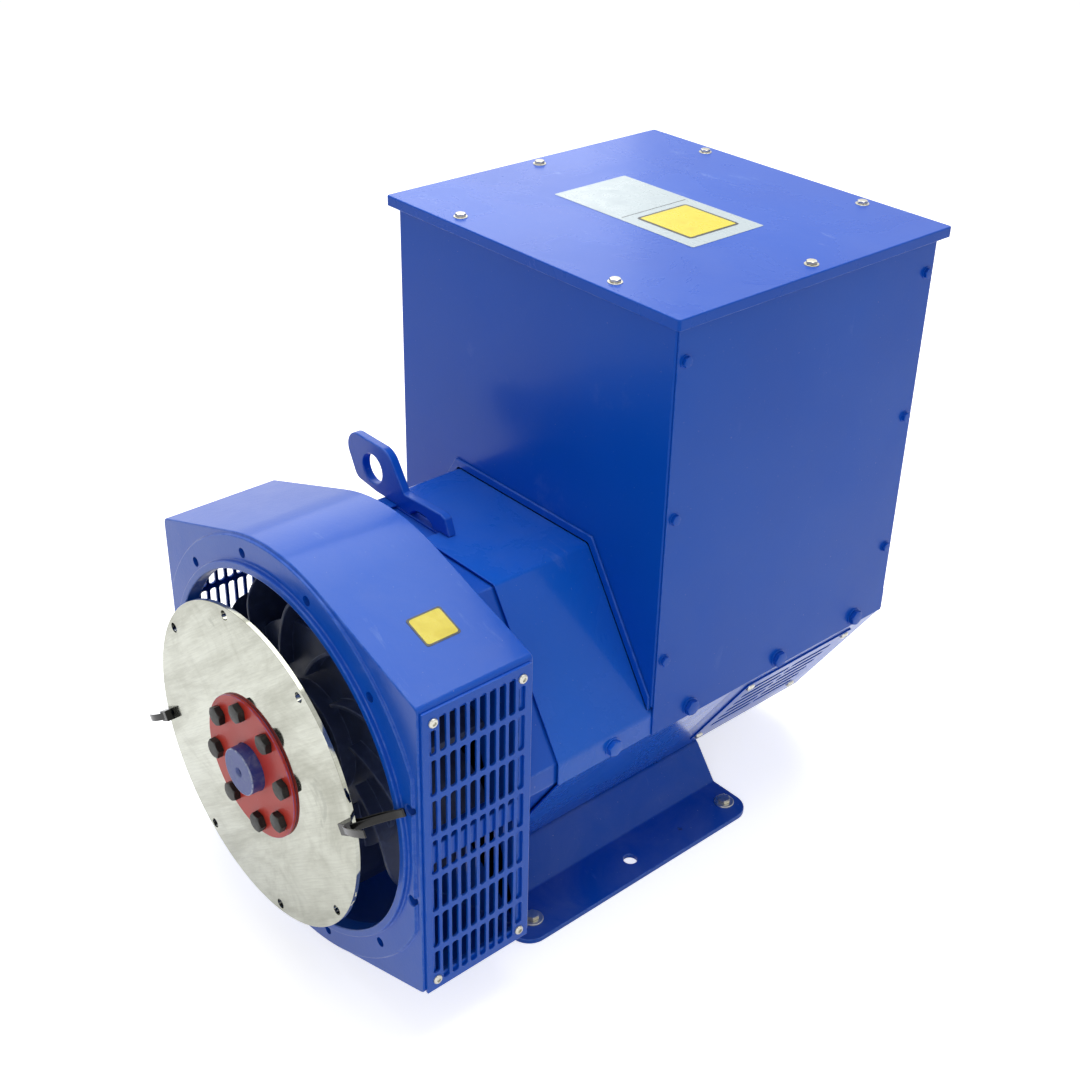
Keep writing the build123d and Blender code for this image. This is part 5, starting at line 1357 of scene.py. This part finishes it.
# ---------------------------------------------------------------- rear end
@dataclass
class RearEnd(Assembly):
    """Rear bracket, inlet louvres, bearing cap, bearing and exciter."""

    end: float = 0.698
    cap: float = 0.005
    cap_circle: float = 0.056
    slope_top: Pair = (0.208, -0.012)
    slope_low: Pair = (0.097, -0.185)
    louvre_y: Pair = (0.480, 0.180)
    louvre_s: Pair = (0.024, 0.146)
    louvre_sheet: float = 0.002
    frame: float = 0.016
    louvre_screw: Fastener = Fastener(Drive.PAN, 0.011, 0.003, 0.003, 0.008)
    cap_bolt: Fastener = Fastener(Drive.HEX, 0.010, 0.004, 0.003, 0.013, 0.0058, 0.0009)

    def build(self, shop: Shop, kit: FastenerKit) -> None:
        """Build and dress the rear end."""
        shop.dress("rear_bracket", BRACKET_BLUE, 0.0016, 3)
        shop.dress_each({"inlet_louvre_right": PANEL_BLUE, "inlet_louvre_left": PANEL_BLUE}, 0.0004)
        shop.dress("bearing_cap", BRACKET_BLUE, 0.0006)
        (top_x, top_z), (low_x, low_z) = self.slope_top, self.slope_low
        run = Vector((low_x - top_x, 0, low_z - top_z)).normalized()
        out = Vector((-run.z, 0, run.x))
        rows, reaches = ((first + self.frame / 2, first + size - self.frame / 2)
                         for first, size in (self.louvre_y, self.louvre_s))
        seats = []
        for side, y, s in product(SIDES, rows, reaches):
            at = Vector((top_x, y, top_z)) + run * s + out * self.louvre_sheet
            seats.append(((side * at.x, at.y, at.z), (side * out.x, 0, out.z)))
        kit.fit("louvre_screws", self.louvre_screw, seats, ZINC, seed=19)
        cap_face = self.end + self.cap
        kit.fit("bearing_cap_bolts", self.cap_bolt,
                [(spun(self.cap_circle, cap_face, 45 + 90 * k), (0, 1, 0)) for k in range(4)], BRACKET_BLUE,
                seed=21)
        shop.dress_each({
            "bearing_outer_ring": BEARING, "bearing_inner_ring": BEARING, "bearing_balls": BEARING,
            "bearing_cage": CAGE, "bearing_o_ring": RUBBER, "bearing_circlip": BLACK,
            "exciter_stator_core": CORE, "exciter_stator_winding": COPPER, "exciter_rotor_core": CORE,
            "exciter_rotor_winding": COPPER, "rectifier_plates": ALLOY, "rectifier_diodes": BRASS,
            "surge_suppressors": BOARD}, 0.0003)


# ---------------------------------------------------------------- active parts
@dataclass
class ActiveParts(Assembly):
    """Cores, windings, welded frame and the bolts that hold the housings."""

    core: Pair = (0.215, 0.435)
    ring_circle: float = 0.165
    adaptor_angles: tuple[float, ...] = (28.0, 84.0, 152.0)
    bracket_angles: tuple[float, ...] = (30.0, 62.0, 118.0, 150.0)
    coils: int = 36
    bundle: float = 0.0056
    radii: Pair = (0.1335, 0.1435)
    lean: float = 0.62
    rise: float = 0.0545
    bulk: Pair = (0.7, 0.8)
    bolt: Fastener = Fastener(Drive.HEX, 0.016, 0.0064, 0.005, 0.018)

    def build(self, shop: Shop, kit: FastenerKit) -> None:
        """Build and dress the active parts."""
        shop.dress_each({"stator_frame": CAST_BLUE, "stator_core": CORE, "rotor_core": CORE,
                         "rotor_windings": COPPER, "winding_wedges": BOARD}, 0.0004)
        rule = CoilRing()
        for name, start, way in (("front", self.core[0], -1), ("rear", self.core[1], 1)):
            self.coil_ends(shop, rule, f"stator_winding_{name}", start, way)
        for name, y, way, angles in (("adaptor", self.core[0] - 0.020, -1, self.adaptor_angles),
                                     ("bracket", self.core[1] + 0.020, 1, self.bracket_angles)):
            kit.fit(f"{name}_bolts", self.bolt,
                    [(spun(self.ring_circle, y, s * a), (0, way, 0)) for s in SIDES for a in angles], ZINC,
                    seed=23)

    def coil_ends(self, shop: Shop, rule: CoilRing, node: str, start: float, way: int) -> None:
        """Ring of leaning coil ends laid round a bound middle.

        Args:
            shop: The bench.
            rule: Tree that lays the coils.
            node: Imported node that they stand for.
            start: Face of the core that they leave.
            way: Side of the core, -1 for the engine side.
        """
        mesh = shop.copy(node)
        middle = sum(self.radii) / 2
        for vert in mesh.verts:
            spoke = Vector((vert.co.x, 0, vert.co.z))
            reach = middle + (spoke.length - middle) * self.bulk[0]
            vert.co = spoke.normalized() * reach + Vector((0, start + (vert.co.y - start) * self.bulk[1], 0))
        coils = rule.run(node, None, {
            "Coils": self.coils, "Bundle radius": self.bundle, "Reach": self.lean,
            "Inner radius": self.radii[0], "Outer radius": self.radii[1], "Rise": way * self.rise,
            "Material": COPPER.material()})
        data = plain(node, placed(coils, Matrix.Translation((0, start, 0))))
        mesh.from_mesh(data)
        bpy.data.meshes.remove(data)
        bmesh.ops.recalc_face_normals(mesh, faces=mesh.faces)
        shop.piece(f"{node}_dressed", mesh, COPPER, Body.FRAME, 0.0, 1, (node,))


# ---------------------------------------------------------------- studio
@dataclass(frozen=True)
class Softbox:
    """One large soft lamp, aimed at a point."""

    name: str
    place: Triple
    aim: Triple
    size: float
    power: float


@dataclass
class Studio:
    """Camera, pale floor, plain light and world."""

    place: Triple = (1.1144, -0.6587, 1.0074)
    azimuth: float = 48.193
    elevation: float = 30.685
    roll: float = 1.301
    lens: float = 52.77
    floor_z: float = -0.235
    floor_glow: float = 0.66
    ambient: float = 0.36
    lamps: tuple[Softbox, ...] = (
        Softbox("overhead", (-0.5, 0.9, 2.4), (0.0, 0.3, 0.0), 2.4, 60.0),
        Softbox("front", (1.8, -2.4, 1.6), (0.0, 0.1, 0.0), 1.8, 16.0),
        Softbox("rear", (-2.9, 2.2, 1.75), (0.0, 0.4, 0.3), 1.7, 13.0),
        Softbox("side", (3.4, 1.0, 0.9), (0.0, 0.3, 0.0), 2.0, 6.0),
    )

    def build(self) -> None:
        """Set up the whole studio."""
        self.camera()
        self.floor()
        self.world()
        for lamp in self.lamps:
            self.light(lamp)
        bpy.context.scene.view_settings.view_transform = "Standard"

    def camera(self) -> None:
        """Camera at the chosen viewing angle."""
        a, e, r = radians(self.azimuth), radians(self.elevation), radians(self.roll)
        right = Vector((cos(a), sin(a), 0))
        back = Vector((sin(a) * cos(e), -cos(a) * cos(e), sin(e)))
        up = back.cross(right)
        turned = right * cos(r) + up * sin(r)
        upright = up * cos(r) - right * sin(r)
        data = bpy.data.cameras.new("camera")
        data.lens = self.lens
        data.sensor_width = 36.0
        data.clip_end = 60.0
        thing = linked("camera", data)
        turn = Matrix((turned, upright, back)).transposed().to_4x4()
        thing.matrix_world = Matrix.Translation(self.place) @ turn
        bpy.context.scene.camera = thing

    def floor(self) -> None:
        """Plain pale floor that keeps the object's shadow."""
        mesh = bmesh.new()
        bmesh.ops.create_grid(mesh, x_segments=4, y_segments=4, size=30.0)
        thing = linked("floor", plain("floor", placed(mesh, Matrix.Translation((0, 0, self.floor_z)))))
        tree = ShaderTree("pale_floor")
        glow = tree.times(tree.shown_background(), self.floor_glow)
        pale = tree.mix(tree.noise(3.0, 2.0), tone(240, 240, 240), tone(243, 243, 243))
        thing.data.materials.append(tree.shade(
            Base_Color=pale, Roughness=0.9, Specular_IOR_Level=0.1, Emission_Color=(1.0, 1.0, 1.0),
            Emission_Strength=glow))
        thing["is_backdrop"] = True

    def world(self) -> None:
        """Even white surroundings, weaker as a light than as a background."""
        world = bpy.data.worlds.new("surroundings")
        bpy.context.scene.world = world
        world.use_nodes = True
        tree = NodeTree(world.node_tree)
        level = tree.node("ShaderNodeMapRange", {"Value": tree.shown_background(), "To Min": self.ambient,
                                                 "To Max": 1.0})
        background = world.node_tree.nodes["Background"]
        tree.feed(background.inputs["Strength"], level.outputs["Result"])
        tree.feed(background.inputs["Color"], (1.0, 1.0, 1.0))

    @staticmethod
    def light(lamp: Softbox) -> None:
        """Hang one softbox."""
        data = bpy.data.lights.new(lamp.name, "AREA")
        data.shape = "SQUARE"
        data.size = lamp.size
        data.energy = lamp.power
        thing = linked(lamp.name, data)
        thing.location = lamp.place
        thing.rotation_mode = "QUATERNION"
        thing.rotation_quaternion = (Vector(lamp.aim) - Vector(lamp.place)).to_track_quat("-Z", "Y")


def corners() -> list[list[float]]:
    """Lowest and highest corner of the shown object as plain numbers."""
    return [[float(c) for c in corner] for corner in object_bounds()]


def main() -> None:
    """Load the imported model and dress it, assembly by assembly."""
    logging.basicConfig(level=logging.INFO, format="%(name)s: %(message)s")
    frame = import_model()
    shop = Shop(frame)
    kit = FastenerKit(shop)
    for assembly in (DriveEnd, Coupling, FrameSection, TerminalBox, RearEnd, ActiveParts):
        assembly().build(shop, kit)
    Studio().build()


if __name__ == "__main__":
    main()
